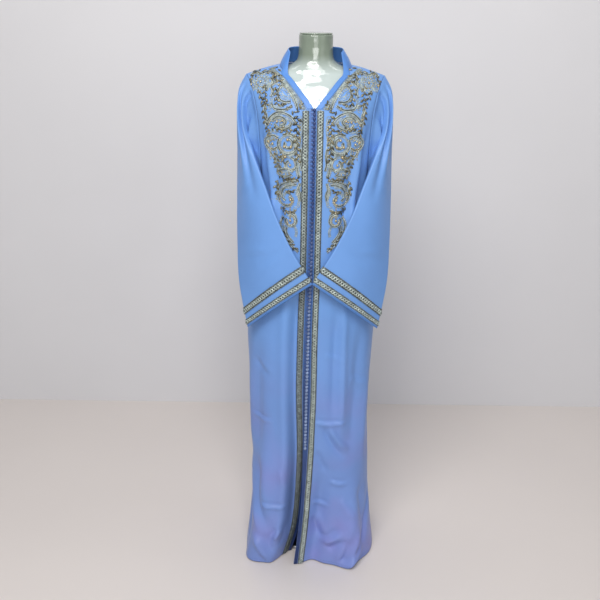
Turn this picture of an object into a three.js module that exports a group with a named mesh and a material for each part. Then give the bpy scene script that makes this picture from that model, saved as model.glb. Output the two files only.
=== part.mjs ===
// A long-sleeved kaftan worn by a limbless display form, in millimetres.
// +Z is up and the garment faces -Y, so +X is the right-hand side of the front view.
// The frame's origin is on the floor, under the stand's base.
import * as THREE from 'three';

// ---------------------------------------------------------------- driving dimensions
const CLOTH = 1.6;              // wall of the satin with its seam allowances pressed
const BRAID = 1.4;              // thickness of a braid or an edge band
const BRAID_WIDTH = 16;         // width of every braid
const LAY = 0.3;                // clearance between a piece and what it lies on
const SEAM = 0.36;              // gap between two walls at a seam
const PITCH = 11.3;             // from one button to the next
const BUTTON_RADIUS = 4.3;
const BUTTON_TOP = 1424;        // height of the first button
const BUTTON_LOW = 409;         // height of the last button; the skirt is slit below it
const CUFF_EDGE = 6;            // width of the piped edge at the cuff
const CUFF_BRAIDS = { lower: 13, upper: 46 };   // distance from cuff line to each braid
const COLLAR_BAND = 17;         // width of the flat band down the V
const COLLAR_HEIGHT = 44;
const STAND_Y = 15;             // the pole and the base stand a little behind the neck
const BASE_RADIUS = 130;
const BASE_HEIGHT = 10;
const POLE_RADIUS = 14;

// ---------------------------------------------------------------- tables
const table = (columns, rows) =>
  rows.map((row) => Object.fromEntries(columns.map((name, i) => [name, row[i]])));

// Sections of half the garment, from the front hem up to the shoulder seam and down the back.
// zIn: height of the inner end. xR, yR and xL, yL: inner end on the right and on the left,
// the left one as a distance to the left. zOut, xOut, yOut: side seam or armhole.
// square: 1 is a straight section, 2 a quarter ellipse, more is squarer.
const SECTIONS = table(
  ['zIn', 'xR', 'yR', 'xL', 'yL', 'zOut', 'xOut', 'yOut', 'square'], [
    [3, -50, -186, 60, -184, 3, 208, -5, 3.6],
    [110, -38, -182, 32, -180, 110, 196, -5, 3.2],
    [240, -27, -177, 20, -174, 240, 185, -4, 2.9],
    [409, -22, -169, 13, -165, 409, 183, -3, 2.7],
    [582, -15, -163, 15, -159, 582, 185, -2, 2.6],
    [742, -11, -158, 13, -156, 742, 192, 0, 2.5],
    [860, -8.5, -154, 10.5, -153, 860, 191, 0, 2.4],
    [950, -5.5, -151, 7.5, -151, 950, 184, 0, 2.4],
    [1035, -4, -148, 6, -148, 1035, 172, 0, 2.4],
    [1115, -3, -146, 5, -146, 1115, 160, 0, 2.4],
    [1200, -2, -144, 4, -144, 1190, 152, 0, 2.4],
    [1280, -1.4, -139, 3.4, -139, 1260, 150, -46, 2.3],
    [1360, -0.8, -129, 2.8, -129, 1335, 152, -68, 2.1],
    [1424, 0, -117, 3, -117, 1405, 158, -72, 1.9],
    [1446, 18, -106, 18, -106, 1440, 165, -62, 1.6],
    [1468, 37, -91, 37, -91, 1468, 173, -46, 1.45],
    [1497, 62, -68, 62, -68, 1490, 182, -25, 1.35],
    [1518, 88, -40, 88, -40, 1500, 188, -10, 1.3],
    [1527, 98, -14, 98, -14, 1504, 191, 0, 1.25],
    [1530, 96, 12, 96, 12, 1500, 188, 14, 1.3],
    [1531, 83, 38, 83, 38, 1486, 181, 38, 1.4],
    [1531, 58, 58, 58, 58, 1455, 170, 62, 1.5],
    [1529, 29, 70, 29, 70, 1415, 160, 76, 1.7],
    [1527, 0, 74, 0, 74, 1365, 152, 80, 1.9],
    [1430, 0, 91, 0, 91, 1300, 149, 72, 2],
    [1315, 0, 106, 0, 106, 1237, 150, 44, 2.1],
    [1200, 0, 110, 0, 110, 1190, 152, 0, 2.3],
    [1115, 0, 108, 0, 108, 1115, 160, 0, 2.3],
    [1035, 0, 105, 0, 105, 1035, 172, 0, 2.3],
    [950, 0, 108, 0, 108, 950, 184, 0, 2.3],
    [860, 0, 115, 0, 115, 860, 191, 0, 2.4],
    [742, 0, 124, 0, 124, 742, 192, 0, 2.5],
    [582, 0, 133, 0, 133, 582, 185, -2, 2.6],
    [409, 0, 141, 0, 141, 409, 183, -3, 2.7],
    [240, 0, 149, 0, 149, 240, 185, -4, 2.8],
    [110, 0, 156, 0, 156, 110, 196, -5, 3],
    [3, 0, 162, 0, 162, 3, 208, -5, 3.2],
  ]);
const HEM = 0;
const ARMPIT = 10;
const VEE = 13;
const SHOULDER = 18;
const NECK_BACK = 23;
const ARMPIT_BACK = 26;
const HEM_BACK = 36;

// Width of the plain band on each front edge at a height.
const PLACKETS = table(['z', 'right', 'left'], [
  [1424, 7, 14],
  [1043, 8, 14],
  [742, 10, 13],
  [582, 13, 13],
  [409, 15, 13],
  [245, 10, 13],
  [3, 13, 13],
]);

// Folds: s is the distance from the front edge, or from the centre of the back, along the
// cloth; depth is outwards; width is the half width. A fold fades over `fade` at its ends.
const FOLDS = table(
  ['panel', 'sTop', 'sLow', 'zTop', 'zLow', 'depth', 'width', 'fade'], [
    ['right', 62, 56, 430, -200, -27, 30, 260],
    ['right', 160, 172, 340, -200, 32, 34, 240],
    ['right', 102, 116, 900, 430, 8, 13, 120],
    ['right', 78, 84, 900, 470, -7, 14, 140],
    ['right', 165, 150, 840, 330, -8, 22, 160],
    ['right', 214, 205, 700, 300, 7, 20, 160],
    ['right', 282, 206, 250, 30, -12, 15, 70],
    ['right', 136, 98, 1350, 1010, 8, 12, 90],
    ['right', 116, 76, 1330, 1010, -5, 11, 90],
    ['left', 0, 0, 700, -700, -70, 45, 700],
    ['left', 38, 38, 950, 60, -17, 16, 130],
    ['left', 70, 62, 930, -100, 7, 17, 130],
    ['left', 128, 134, 460, -200, 20, 36, 280],
    ['left', 150, 168, 800, 300, -7, 24, 170],
    ['left', 206, 214, 720, 280, 6, 20, 160],
    ['left', 262, 170, 240, 30, -11, 14, 70],
    ['left', 134, 98, 1350, 1010, 7, 12, 90],
    ['left', 114, 78, 1330, 1010, -5, 11, 90],
    ['back right', 44, 58, 1330, -200, -9, 17, 260],
    ['back right', 92, 112, 1200, -200, 9, 20, 260],
    ['back right', 150, 170, 1010, -200, -10, 19, 260],
    ['back right', 205, 226, 760, -200, 9, 20, 260],
    ['back left', 52, 50, 1300, -200, -8, 18, 260],
    ['back left', 100, 100, 1180, -200, 10, 19, 260],
    ['back left', 158, 152, 980, -200, -9, 20, 260],
    ['back left', 212, 214, 820, -200, 8, 19, 260],
  ]);

// The flattened sleeve from the armhole (at 0) to the cuff line (at 1): over-arm edge E and
// inner edge B, how far the front layer bows forwards, how far the back layer lies behind it,
// and how much of the armhole's own shape is left. Right side; the left one is mirrored.
const SLEEVE = table(
  ['at', 'xE', 'yE', 'zE', 'xB', 'yB', 'zB', 'bow', 'deep', 'open'], [
    [0, 191, 0, 1504, 173, -46, 1468, 0, 0, 1],
    [0.12, 213, -2, 1460, 198, -48, 1432, 4, 4, 0.82],
    [0.26, 219, -8, 1385, 199, -64, 1368, 8, 16, 0.58],
    [0.4, 219, -18, 1280, 176, -92, 1300, 14, 26, 0.34],
    [0.55, 220, -36, 1160, 143, -124, 1218, 17, 30, 0.14],
    [0.7, 219, -62, 1043, 106, -152, 1128, 18, 28, 0.03],
    [0.85, 213, -95, 925, 62, -174, 1042, 18, 23, 0],
    [1, 188, -130, 797, 3, -186, 948, 18, 17, 0],
  ]);
const SLEEVE_AROUND = 32;       // points round a sleeve, two for each body section
const SLEEVE_INNER = 10;        // the point that runs along the inner edge B
const SLEEVE_OUTER = 16;        // the point that runs along the over-arm edge E
const MEET_X = -1.9;            // the cuffs meet this far from the middle

// Soft vertical folds of the upper sleeve: `around` is a point number, depth is outwards.
const SLEEVE_FOLDS = table(['around', 'atTop', 'atLow', 'depth', 'width'], [
  [7.3, 0.02, 0.66, -18, 2.1],
  [4, 0.03, 0.45, 7, 1.6],
  [20.5, 0.08, 0.75, -7, 1.8],
  [24, 0.08, 0.75, 6, 1.8],
  [28, 0.05, 0.6, -7, 1.8],
]);

// The form: a section at each height, its half width, front and back, and squareness.
const FORM = table(['z', 'half', 'front', 'back', 'square'], [
  [700, 128, -92, 92, 2.3],
  [790, 150, -104, 100, 2.3],
  [880, 156, -106, 104, 2.3],
  [980, 136, -98, 92, 2.2],
  [1080, 118, -92, 80, 2.2],
  [1160, 124, -98, 86, 2.2],
  [1230, 132, -106, 92, 2.2],
  [1290, 138, -116, 94, 2.2],
  [1350, 146, -116, 94, 2.1],
  [1400, 152.5, -108, 88.5, 2.1],
  [1440, 156.5, -96, 80.8, 2.1],
  [1471, 157, -82, 68.8, 2],
  [1494.6, 150.5, -68.7, 58.8, 2],
  [1510.3, 132.8, -59.7, 53.8, 2],
  [1520.2, 110.5, -55.7, 51.8, 2],
  [1527.5, 85.5, -52.5, 50.5, 2],
  [1538, 60, -49, 50, 2],
  [1556, 49, -45, 47, 2],
  [1612, 47, -44, 46, 2],
]);
const BUST = { x: 74, z: 1262, rise: 20, wide: 40, tall: 62, fade: 40 };
const FORM_AROUND = 28;

// Profiles of the turned pieces, as [radius, height] pairs from the axis round to the axis.
const CAP_PROFILE = [[0, 0], [44, 0], [46, 1.5], [45, 4], [0, 4]];
const CAP_Y = 1;                // the neck stands this far behind the middle
const BASE_CHAMFER = { wide: 4, tall: 3 };
const BASE_PROFILE = [
  [0, 0], [BASE_RADIUS, 0], [BASE_RADIUS, BASE_HEIGHT - BASE_CHAMFER.tall],
  [BASE_RADIUS - BASE_CHAMFER.wide, BASE_HEIGHT], [0, BASE_HEIGHT]];
const FOOT_PROFILE = [
  [0, 0], [POLE_RADIUS + 12, 0], [POLE_RADIUS + 10, 12], [POLE_RADIUS, 18]];

// ---------------------------------------------------------------- small maths
const lerp = THREE.MathUtils.lerp;
const ease = (t) => THREE.MathUtils.smoothstep(t, 0, 1);
const mix = (a, b, t) => a.clone().lerp(b, t);

// Smooth value of a table's column at a row number that may lie between rows. The curve
// bends sharply at a row that is named in `breaks`.
function between(rows, name, v, breaks = []) {
  const i = Math.min(Math.floor(v), rows.length - 2);
  const t = v - i;
  const low = Math.max(0, ...breaks.filter((row) => row <= i));
  const high = Math.min(rows.length - 1, ...breaks.filter((row) => row > i));
  const at = (k) => rows[THREE.MathUtils.clamp(k, low, high)][name];
  const [a, b, c, d] = [at(i - 1), at(i), at(i + 1), at(i + 2)];
  return b + 0.5 * t * (c - a + t * (2 * a - 5 * b + 4 * c - d + t * (3 * (b - c) + d - a)));
}

// Row number at which a rising or falling column reaches a value; the first row if it never does.
function rowAt(rows, name, value) {
  for (let i = 0; i + 1 < rows.length; i += 1) {
    const a = rows[i][name];
    const b = rows[i + 1][name];
    if ((value - a) * (value - b) <= 0) return i + (value - a) / (b - a);
  }
  return 0;
}

// ---------------------------------------------------------------- sheets and walls
// A sheet is a surface: points, and four-sided faces that are seen from outside. A grid sheet
// has `wide` points in each row, and may be closed round on itself.
function gridSheet(rows, columns, point, { closed = false, flip = false } = {}) {
  const points = rows.flatMap((row) => columns.map((column) => point(row, column)));
  const faces = [];
  const wide = columns.length;
  for (let i = 0; i + 1 < rows.length; i += 1) {
    for (let j = 0; j < (closed ? wide : wide - 1); j += 1) {
      const k = (j + 1) % wide;
      const face = [i * wide + j, i * wide + k, (i + 1) * wide + k, (i + 1) * wide + j];
      faces.push(flip ? face.reverse() : face);
    }
  }
  return { points, faces, wide, closed, flip };
}

// Two sheets made one where their points coincide.
function joinSheets(a, b) {
  const key = (p) => p.toArray().map((c) => Math.round(c * 1000)).join();
  const points = [...a.points];
  const places = new Map(points.map((p, i) => [key(p), i]));
  const moved = b.points.map((p) => places.get(key(p)) ?? points.push(p) - 1);
  return { points, faces: [...a.faces, ...b.faces.map((face) => face.map((i) => moved[i]))] };
}

// How a sheet's points move for each millimetre that its faces move out: along the normal, and
// further at a sharp fold, so that the wall keeps its thickness there.
const SHARPEST = 0.55;
function leansOf({ points, faces }) {
  const slopes = faces.map(([a, b, c, d]) => {
    const across = points[c].clone().sub(points[a]);
    return across.cross(points[d].clone().sub(points[b]));
  });
  const leans = points.map(() => new THREE.Vector3());
  faces.forEach((face, f) => face.forEach((i) => leans[i].add(slopes[f])));
  leans.forEach((lean) => lean.normalize());
  const facing = points.map(() => 1);
  faces.forEach((face, f) => face.forEach((i) => {
    facing[i] = Math.min(facing[i], leans[i].dot(slopes[f]) / slopes[f].length());
  }));
  return leans.map((lean, i) => lean.divideScalar(Math.max(facing[i], SHARPEST)));
}

// Closed wall between a sheet moved in and the same sheet moved out, rimmed at its free edges.
function wall(sheet, { low = -CLOTH / 2, high = CLOTH / 2 } = {}) {
  const { points, faces, leans = leansOf(sheet) } = sheet;
  const skin = (reach) => points.map((p, i) => p.clone().addScaledVector(leans[i], reach));
  const corners = [...skin(high), ...skin(low)];
  const inner = points.length;
  const triangles = [];
  const rims = new Map();
  for (const [a, b, c, d] of faces) {
    triangles.push(a, b, c, a, c, d);
    triangles.push(a + inner, c + inner, b + inner, a + inner, d + inner, c + inner);
    for (const [from, to] of [[a, b], [b, c], [c, d], [d, a]]) {
      if (!rims.delete(`${to},${from}`)) rims.set(`${from},${to}`, [from, to]);
    }
  }
  for (const [from, to] of rims.values()) {
    triangles.push(to, from, from + inner, to, from + inner, to + inner);
  }
  return solid(corners, triangles);
}

function solid(corners, triangles) {
  const geometry = new THREE.BufferGeometry().setFromPoints(corners);
  geometry.setIndex(triangles);
  return geometry;
}

// Part of a grid sheet, at row and column numbers that may lie between its own, with the leans
// of the whole sheet, so that a piece made from it lies true on it.
function patch(sheet, rows, columns, closed = false) {
  const at = (list, row, column) => {
    const [i, j] = [Math.floor(row), Math.floor(column)];
    const along = (k) => {
      const place = list[i * sheet.wide + k];
      return row > i ? mix(place, list[(i + 1) * sheet.wide + k], row - i) : place.clone();
    };
    return column > j ? along(j).lerp(along(j + 1), column - j) : along(j);
  };
  const part = gridSheet(rows, columns, (row, column) => at(sheet.points, row, column),
    { closed, flip: sheet.flip });
  part.leans = rows.flatMap((row) => columns.map((column) => at(sheet.leans, row, column)));
  return part;
}

// ---------------------------------------------------------------- body of the garment
const BREAKS = [ARMPIT, VEE, NECK_BACK, ARMPIT_BACK];
// The plain section at row v, without folds: points along it and the length up to each.
const SECTION_STEPS = 40;
const sections = new Map();
function section(side, v) {
  const key = `${side},${v.toFixed(5)}`;
  if (sections.has(key)) return sections.get(key);
  const value = (name) => between(SECTIONS, name, v, BREAKS);
  const [xIn, yIn] = side > 0 ? [value('xR'), value('yR')] : [-value('xL'), value('yL')];
  const start = new THREE.Vector2(v > NECK_BACK ? 0 : xIn, yIn);
  const reach = new THREE.Vector2(side * value('xOut'), value('yOut')).sub(start);
  const power = 2 / value('square');
  const points = [];
  const lengths = [0];
  for (let i = 0; i <= SECTION_STEPS; i += 1) {
    const angle = (i / SECTION_STEPS) * (Math.PI / 2);
    const x = start.x + reach.x * Math.sin(angle) ** power;
    const y = start.y + reach.y * (1 - Math.cos(angle) ** power);
    points.push(new THREE.Vector2(x, y));
    if (i > 0) lengths.push(lengths[i - 1] + points[i].distanceTo(points[i - 1]));
  }
  const made = { points, lengths, zIn: value('zIn'), zOut: value('zOut') };
  sections.set(key, made);
  return made;
}

const sectionLength = (side, v) => section(side, v).lengths.at(-1);

// Depth of all the folds of a panel at a distance s and a height z.
function foldDepth(panel, s, z) {
  let depth = 0;
  for (const fold of FOLDS) {
    if (fold.panel !== panel || z > fold.zTop || z < fold.zLow) continue;
    const t = (fold.zTop - z) / (fold.zTop - fold.zLow);
    const off = (s - lerp(fold.sTop, fold.sLow, t)) / fold.width;
    const fade = ease((fold.zTop - z) / fold.fade) * ease((z - fold.zLow) / fold.fade);
    depth += fold.depth * fade * Math.exp(-off * off);
  }
  return depth;
}

// Point of the body cloth at row v, s millimetres from its inner end.
const SIDE_CALM = 45;           // folds die away this close to a side seam
const SWAY = { x: -7, low: 300, high: 880, fade: 170 };   // the skirt hangs a little aside
const SHOULDER_ROUND = 1.5;     // a sloping section stays high near the neck, then falls
function bodyPoint(side, v, s) {
  const { points, lengths, zIn, zOut } = section(side, v);
  const length = lengths.at(-1);
  let i = 1;
  while (i < SECTION_STEPS && lengths[i] < s) i += 1;
  const t = (s - lengths[i - 1]) / (lengths[i] - lengths[i - 1]);
  const place = points[i - 1].clone().lerp(points[i], t);
  const along = points[i].clone().sub(points[i - 1]).normalize();
  const z = lerp(zIn, zOut, (s / length) ** SHOULDER_ROUND);
  const front = v < SHOULDER;
  const panel = (front ? '' : 'back ') + (side > 0 ? 'right' : 'left');
  const outward = new THREE.Vector2(along.y, -along.x).multiplyScalar(front ? side : -side);
  const depth = foldDepth(panel, s, z) * ease((length - s) / SIDE_CALM);
  place.addScaledVector(outward, depth);
  place.x += SWAY.x * ease((z - SWAY.low) / SWAY.fade) * ease((SWAY.high - z) / SWAY.fade) *
    (s / length);
  return new THREE.Vector3(place.x, place.y, z);
}

const SHOULDER_GAP = 0.03;      // of a row, on each side of the shoulder seam
const seamShift = (v) => (v <= ARMPIT || v >= ARMPIT_BACK ? SEAM / 2 : 0);

// Rows between two section numbers, `each` to a section.
function rowsFrom(first, last, each) {
  const count = Math.round(Math.abs(last - first) * each);
  return Array.from({ length: count + 1 }, (_, i) => lerp(first, last, i / count));
}

// Front panel: columns at the front edge, both sides of the braid, then evenly to the side.
const FRONT_COLUMNS = 12;
const FRONT_ROWS = { skirt: 1.6, top: 2 };   // rows of points to a section
function frontSheet(side) {
  const rows = [
    ...rowsFrom(HEM, ARMPIT, FRONT_ROWS.skirt),
    ...rowsFrom(ARMPIT, SHOULDER, FRONT_ROWS.top).slice(1)];
  rows[rows.length - 1] -= SHOULDER_GAP;
  const name = side > 0 ? 'right' : 'left';
  const columns = Array.from({ length: FRONT_COLUMNS + 1 }, (_, j) => j);
  const point = (v, j) => {
    const length = sectionLength(side, v);
    const z = between(SECTIONS, 'zIn', v);
    const band = between(PLACKETS, name, rowAt(PLACKETS, 'z', z));
    const braid = band + BRAID_WIDTH;
    const s = [0, band, braid][j] ?? lerp(braid, length, (j - 2) / (FRONT_COLUMNS - 2));
    const place = bodyPoint(side, v, s);
    if (j === FRONT_COLUMNS) place.y -= seamShift(v);
    return place;
  };
  return { ...gridSheet(rows, columns, point, { flip: side < 0 }), rows };
}

const BACK_COLUMNS = 10;
const BACK_ROWS = { top: 2, skirt: 1.5 };
function backSheet() {
  const half = (side) => {
    const rows = [
      ...rowsFrom(SHOULDER, ARMPIT_BACK, BACK_ROWS.top),
      ...rowsFrom(ARMPIT_BACK, HEM_BACK, BACK_ROWS.skirt).slice(1)];
    rows[0] += SHOULDER_GAP;
    const columns = Array.from({ length: BACK_COLUMNS + 1 }, (_, j) => j);
    const point = (v, j) => {
      const place = bodyPoint(side, v, (sectionLength(side, v) * j) / BACK_COLUMNS);
      if (j === BACK_COLUMNS) place.y += seamShift(v);
      if (j === 0 && v >= NECK_BACK) place.x = 0;
      return place;
    };
    return gridSheet(rows, columns, point, { flip: side < 0 });
  };
  return joinSheets(half(1), half(-1));
}

// ---------------------------------------------------------------- sleeves
const ARMHOLE_STEP = 1.15;      // the sleeve starts this far outside the body's wall
function armhole(side, k) {
  const v = ARMPIT + (k * (ARMPIT_BACK - ARMPIT)) / SLEEVE_AROUND;
  const value = (name) => between(SECTIONS, name, v, BREAKS);
  return new THREE.Vector3(side * (value('xOut') + ARMHOLE_STEP), value('yOut'), value('zOut'));
}

// Flattened ring: front layer from B to E, back layer from E round to B again, with blunt
// folds between them.
const FOLD_BLUNT = 0.32;        // thickness of the folded edges, as a share of the depth
const SLEEVE_FACING = { x: 0.3, y: -0.93, z: 0.2 };   // the way a flattened sleeve faces
function flatRing(side, k, value) {
  const shift = MEET_X * ease((value('at') - 0.6) / 0.4);
  const outer = new THREE.Vector3(side * value('xE'), value('yE'), value('zE'));
  const inner = new THREE.Vector3(side * value('xB') + shift, value('yB'), value('zB'));
  const turn = (k - SLEEVE_INNER + SLEEVE_AROUND) % SLEEVE_AROUND;
  const front = SLEEVE_OUTER - SLEEVE_INNER;
  const isFront = turn <= front;
  const back = (turn - front - 1) / (SLEEVE_AROUND - front - 2);
  const t = isFront ? turn / front : 1 - back;
  const arch = Math.sin(Math.PI * t);
  const behind = FOLD_BLUNT + (1 - FOLD_BLUNT) * Math.abs(arch) ** 0.6;
  const forward = value('bow') * arch - (isFront ? 0 : value('deep') * behind);
  const facing = new THREE.Vector3(SLEEVE_FACING.x * side, SLEEVE_FACING.y, SLEEVE_FACING.z);
  facing.normalize();
  return mix(inner, outer, t).addScaledVector(facing, forward);
}

const FOLD_FACING = { x: 0.35, y: 0.9 };   // sleeve folds move the cloth this way
function sleevePoint(side, at, k) {
  const row = rowAt(SLEEVE, 'at', at);
  const value = (name) => (name === 'at' ? at : between(SLEEVE, name, row));
  const start = flatRing(side, k, (name) => SLEEVE[0][name]);
  const place = flatRing(side, k, value);
  place.addScaledVector(armhole(side, k).sub(start), value('open'));
  const away = k > SLEEVE_OUTER ? FOLD_FACING.y : -FOLD_FACING.y;
  const out = new THREE.Vector3(side * FOLD_FACING.x, away, 0).normalize();
  for (const fold of SLEEVE_FOLDS) {
    const off = (k - fold.around) / fold.width;
    const t = (at - fold.atTop) / (fold.atLow - fold.atTop);
    const fade = t > 0 && t < 1 ? Math.sin(Math.PI * t) ** 0.8 : 0;
    place.addScaledVector(out, fold.depth * fade * Math.exp(-off * off));
  }
  return place;
}

// Point of the sleeve a distance from the cuff line, along the sleeve.
const CUFF_SPAN = 0.1;
function cuffPoint(side, distance, k) {
  const run = sleevePoint(side, 1, k).distanceTo(sleevePoint(side, 1 - CUFF_SPAN, k));
  return sleevePoint(side, 1 - (CUFF_SPAN * distance) / run, k);
}

const SLEEVE_ROWS = [0, 0.06, 0.12, 0.19, 0.26, 0.34, 0.42, 0.51, 0.61, 0.72, 0.84];
const CUFF_LINES = [
  CUFF_BRAIDS.upper + BRAID_WIDTH, CUFF_BRAIDS.upper,
  CUFF_BRAIDS.lower + BRAID_WIDTH, CUFF_BRAIDS.lower, CUFF_EDGE, 0];
function sleeveSheet(side) {
  const around = Array.from({ length: SLEEVE_AROUND }, (_, k) => k);
  const upper = SLEEVE_ROWS.map((at) => ({ at }));
  const lower = CUFF_LINES.map((distance) => ({ distance }));
  const point = (row, k) =>
    ('at' in row ? sleevePoint(side, row.at, k) : cuffPoint(side, row.distance, k));
  return gridSheet([...upper, ...lower], around, point, { closed: true, flip: side > 0 });
}

// A ring round the cuff between two of the cuff lines, drawn in a little at both.
function cuffRing(sheet, line, inset) {
  const row = SLEEVE_ROWS.length + line;
  const around = Array.from({ length: SLEEVE_AROUND }, (_, k) => k);
  return patch(sheet, [row + inset, row + 1 - inset], around, true);
}

// ---------------------------------------------------------------- collar
const COLLAR_TURN = 16.35;      // the flat band starts to stand up here
const COLLAR_STANDS = 17.25;    // and stands upright here
const COLLAR_ROLL = 1.2;        // the band rolls up off the shoulder where it turns
const COLLAR_LEAN = 24;         // how far the top leans towards the neck
const LEAN_CURVE = 1.3;         // 1 is a straight lean, more curves it in near the top
const LEAN_TOWARDS_Y = 10;      // the collar leans towards this point on the middle line
const FLAT_REACH = 10;          // the flat band's slope is taken this far past its edge
const COLLAR_ACROSS = [0, 0.33, 0.67, 1];   // its lengthwise lines, from the bottom edge up
function collarPoint(station, across) {
  const side = station < NECK_BACK ? 1 : -1;
  const v = station < NECK_BACK ? station : 2 * NECK_BACK - station;
  const lift = CLOTH / 2 + 2 * LAY + BRAID / 2;
  const flat = bodyPoint(side, v, COLLAR_BAND * (1 - across));
  const aside = bodyPoint(side, v, COLLAR_BAND + FLAT_REACH).sub(bodyPoint(side, v, 0));
  const upwards = bodyPoint(side, v + 0.2, 0).sub(bodyPoint(side, v - 0.2, 0));
  flat.addScaledVector(aside.cross(upwards).multiplyScalar(side).normalize(), lift);
  const base = bodyPoint(side, v, 0);
  if (v > NECK_BACK - 0.01) base.x = 0;
  const inward = new THREE.Vector3(-base.x, LEAN_TOWARDS_Y - base.y, 0).normalize();
  const stand = base.clone().add(new THREE.Vector3(0, 0, CLOTH / 2 + 2 * LAY));
  stand.addScaledVector(inward, COLLAR_LEAN * across ** LEAN_CURVE);
  stand.z += COLLAR_HEIGHT * across;
  const turn = ease((v - COLLAR_TURN) / (COLLAR_STANDS - COLLAR_TURN));
  const place = mix(flat, stand, turn);
  place.z += COLLAR_ROLL * 4 * turn * (1 - turn);
  return place;
}

function collarSheet() {
  const half = [VEE + 0.12, ...rowsFrom(VEE + 0.5, 16, 2), ...rowsFrom(16, 17.5, 6).slice(1),
    ...rowsFrom(17.5, NECK_BACK, 2).slice(1)];
  const other = half.slice(0, -1).map((v) => 2 * NECK_BACK - v).reverse();
  return gridSheet([...half, ...other], COLLAR_ACROSS, collarPoint);
}

// ---------------------------------------------------------------- buttons
// A string of round buttons on one cord: a tube whose radius swells once for each button.
function buttonRow() {
  const count = Math.round((BUTTON_TOP - BUTTON_LOW) / PITCH) + 1;
  const sides = 6;
  const cord = 1.3;             // radius of the cord between two buttons
  const corners = [];
  const triangles = [];
  const ring = (z, radius) => {
    const v = rowAt(SECTIONS.slice(0, SHOULDER), 'zIn', z);
    const right = bodyPoint(1, v, 0);
    const left = bodyPoint(-1, v, 0);
    const x = (right.x + left.x) / 2;
    const y = right.y - CLOTH / 2 - 4 * LAY - BRAID - BUTTON_RADIUS;
    for (let k = 0; k < sides; k += 1) {
      const angle = (2 * Math.PI * k) / sides;
      corners.push(
        new THREE.Vector3(x + radius * Math.cos(angle), y + radius * Math.sin(angle), z));
    }
  };
  for (let i = 0; i < count; i += 1) {
    const z = BUTTON_TOP - i * PITCH;
    ring(z + PITCH / 2, cord);
    ring(z, BUTTON_RADIUS);
  }
  ring(BUTTON_TOP - (count - 0.5) * PITCH, cord);
  const rings = corners.length / sides;
  for (let i = 0; i + 1 < rings; i += 1) {
    for (let k = 0; k < sides; k += 1) {
      const a = i * sides + k;
      const b = i * sides + ((k + 1) % sides);
      triangles.push(a, a + sides, b, b, a + sides, b + sides);
    }
  }
  for (let k = 1; k + 1 < sides; k += 1) {
    const last = (rings - 1) * sides;
    triangles.push(0, k, k + 1, last, last + k + 1, last + k);
  }
  return solid(corners, triangles);
}

// ---------------------------------------------------------------- display form
function formPoint(row, angle) {
  const value = (name) => between(FORM, name, row);
  const power = 2 / value('square');
  const round = (c) => Math.sign(c) * Math.abs(c) ** power;
  const x = value('half') * round(Math.cos(angle));
  const deep = Math.sin(angle) < 0 ? -value('front') : value('back');
  let y = deep * round(Math.sin(angle));
  const z = value('z');
  if (y < 0) {
    const away = ((Math.abs(x) - BUST.x) / BUST.wide) ** 2 + ((z - BUST.z) / BUST.tall) ** 2;
    y -= BUST.rise * Math.exp(-away) * Math.min(1, -y / BUST.fade);
  }
  return new THREE.Vector3(x, y, z);
}

function formTorso() {
  const rows = rowsFrom(0, FORM.length - 1, 1);
  const corners = [];
  const triangles = [];
  for (const row of rows) {
    for (let k = 0; k < FORM_AROUND; k += 1) {
      corners.push(formPoint(row, (2 * Math.PI * k) / FORM_AROUND));
    }
  }
  for (let i = 0; i + 1 < rows.length; i += 1) {
    for (let k = 0; k < FORM_AROUND; k += 1) {
      const a = i * FORM_AROUND + k;
      const b = i * FORM_AROUND + ((k + 1) % FORM_AROUND);
      triangles.push(a, b, a + FORM_AROUND, b, b + FORM_AROUND, a + FORM_AROUND);
    }
  }
  const last = (rows.length - 1) * FORM_AROUND;
  for (let k = 1; k + 1 < FORM_AROUND; k += 1) {
    triangles.push(0, k + 1, k, last, last + k, last + k + 1);
  }
  return solid(corners, triangles);
}

// Round piece turned about the vertical: a profile of [radius, height] pairs.
function turned(profile, sides) {
  const lathe = new THREE.LatheGeometry(profile.map(([r, h]) => new THREE.Vector2(r, h)), sides);
  return lathe.rotateX(Math.PI / 2);
}

// ---------------------------------------------------------------- assembly
const kaftan = new THREE.Group();
const satin = { color: 0x6f97d8, roughness: 0.5, metalness: 0 };
const band = { color: 0x4884cc, roughness: 0.45, metalness: 0 };
const metalThread = { color: 0x8f958c, roughness: 0.42, metalness: 0.6 };
const formShell = { color: 0xcfdcd6, roughness: 0.12, metalness: 0 };
const steel = { color: 0xb9bcbf, roughness: 0.3, metalness: 1 };

function add(name, geometry, look) {
  const mesh = new THREE.Mesh(geometry, new THREE.MeshStandardMaterial(look));
  mesh.name = name;
  kaftan.add(mesh);
  return mesh;
}

const CUFF_ROLL = { low: -CLOTH / 2, high: CLOTH / 2 + LAY };
const BRAID_INSET = 0.012;      // shares of their ring that the cuff's braids and its edge
const EDGE_INSET = 0.25;        // leave free along both sides
const PATCH_INSET = 0.015;      // and that the front's pieces leave free
const onCloth = { low: CLOTH / 2 + LAY, high: CLOTH / 2 + LAY + BRAID };
const strip = (column) => [column + PATCH_INSET, column + 1 - PATCH_INSET];
const upTo = (rows, last) => rows.map((v, i) => i).filter((i) => rows[i] <= last + 0.01);

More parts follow.
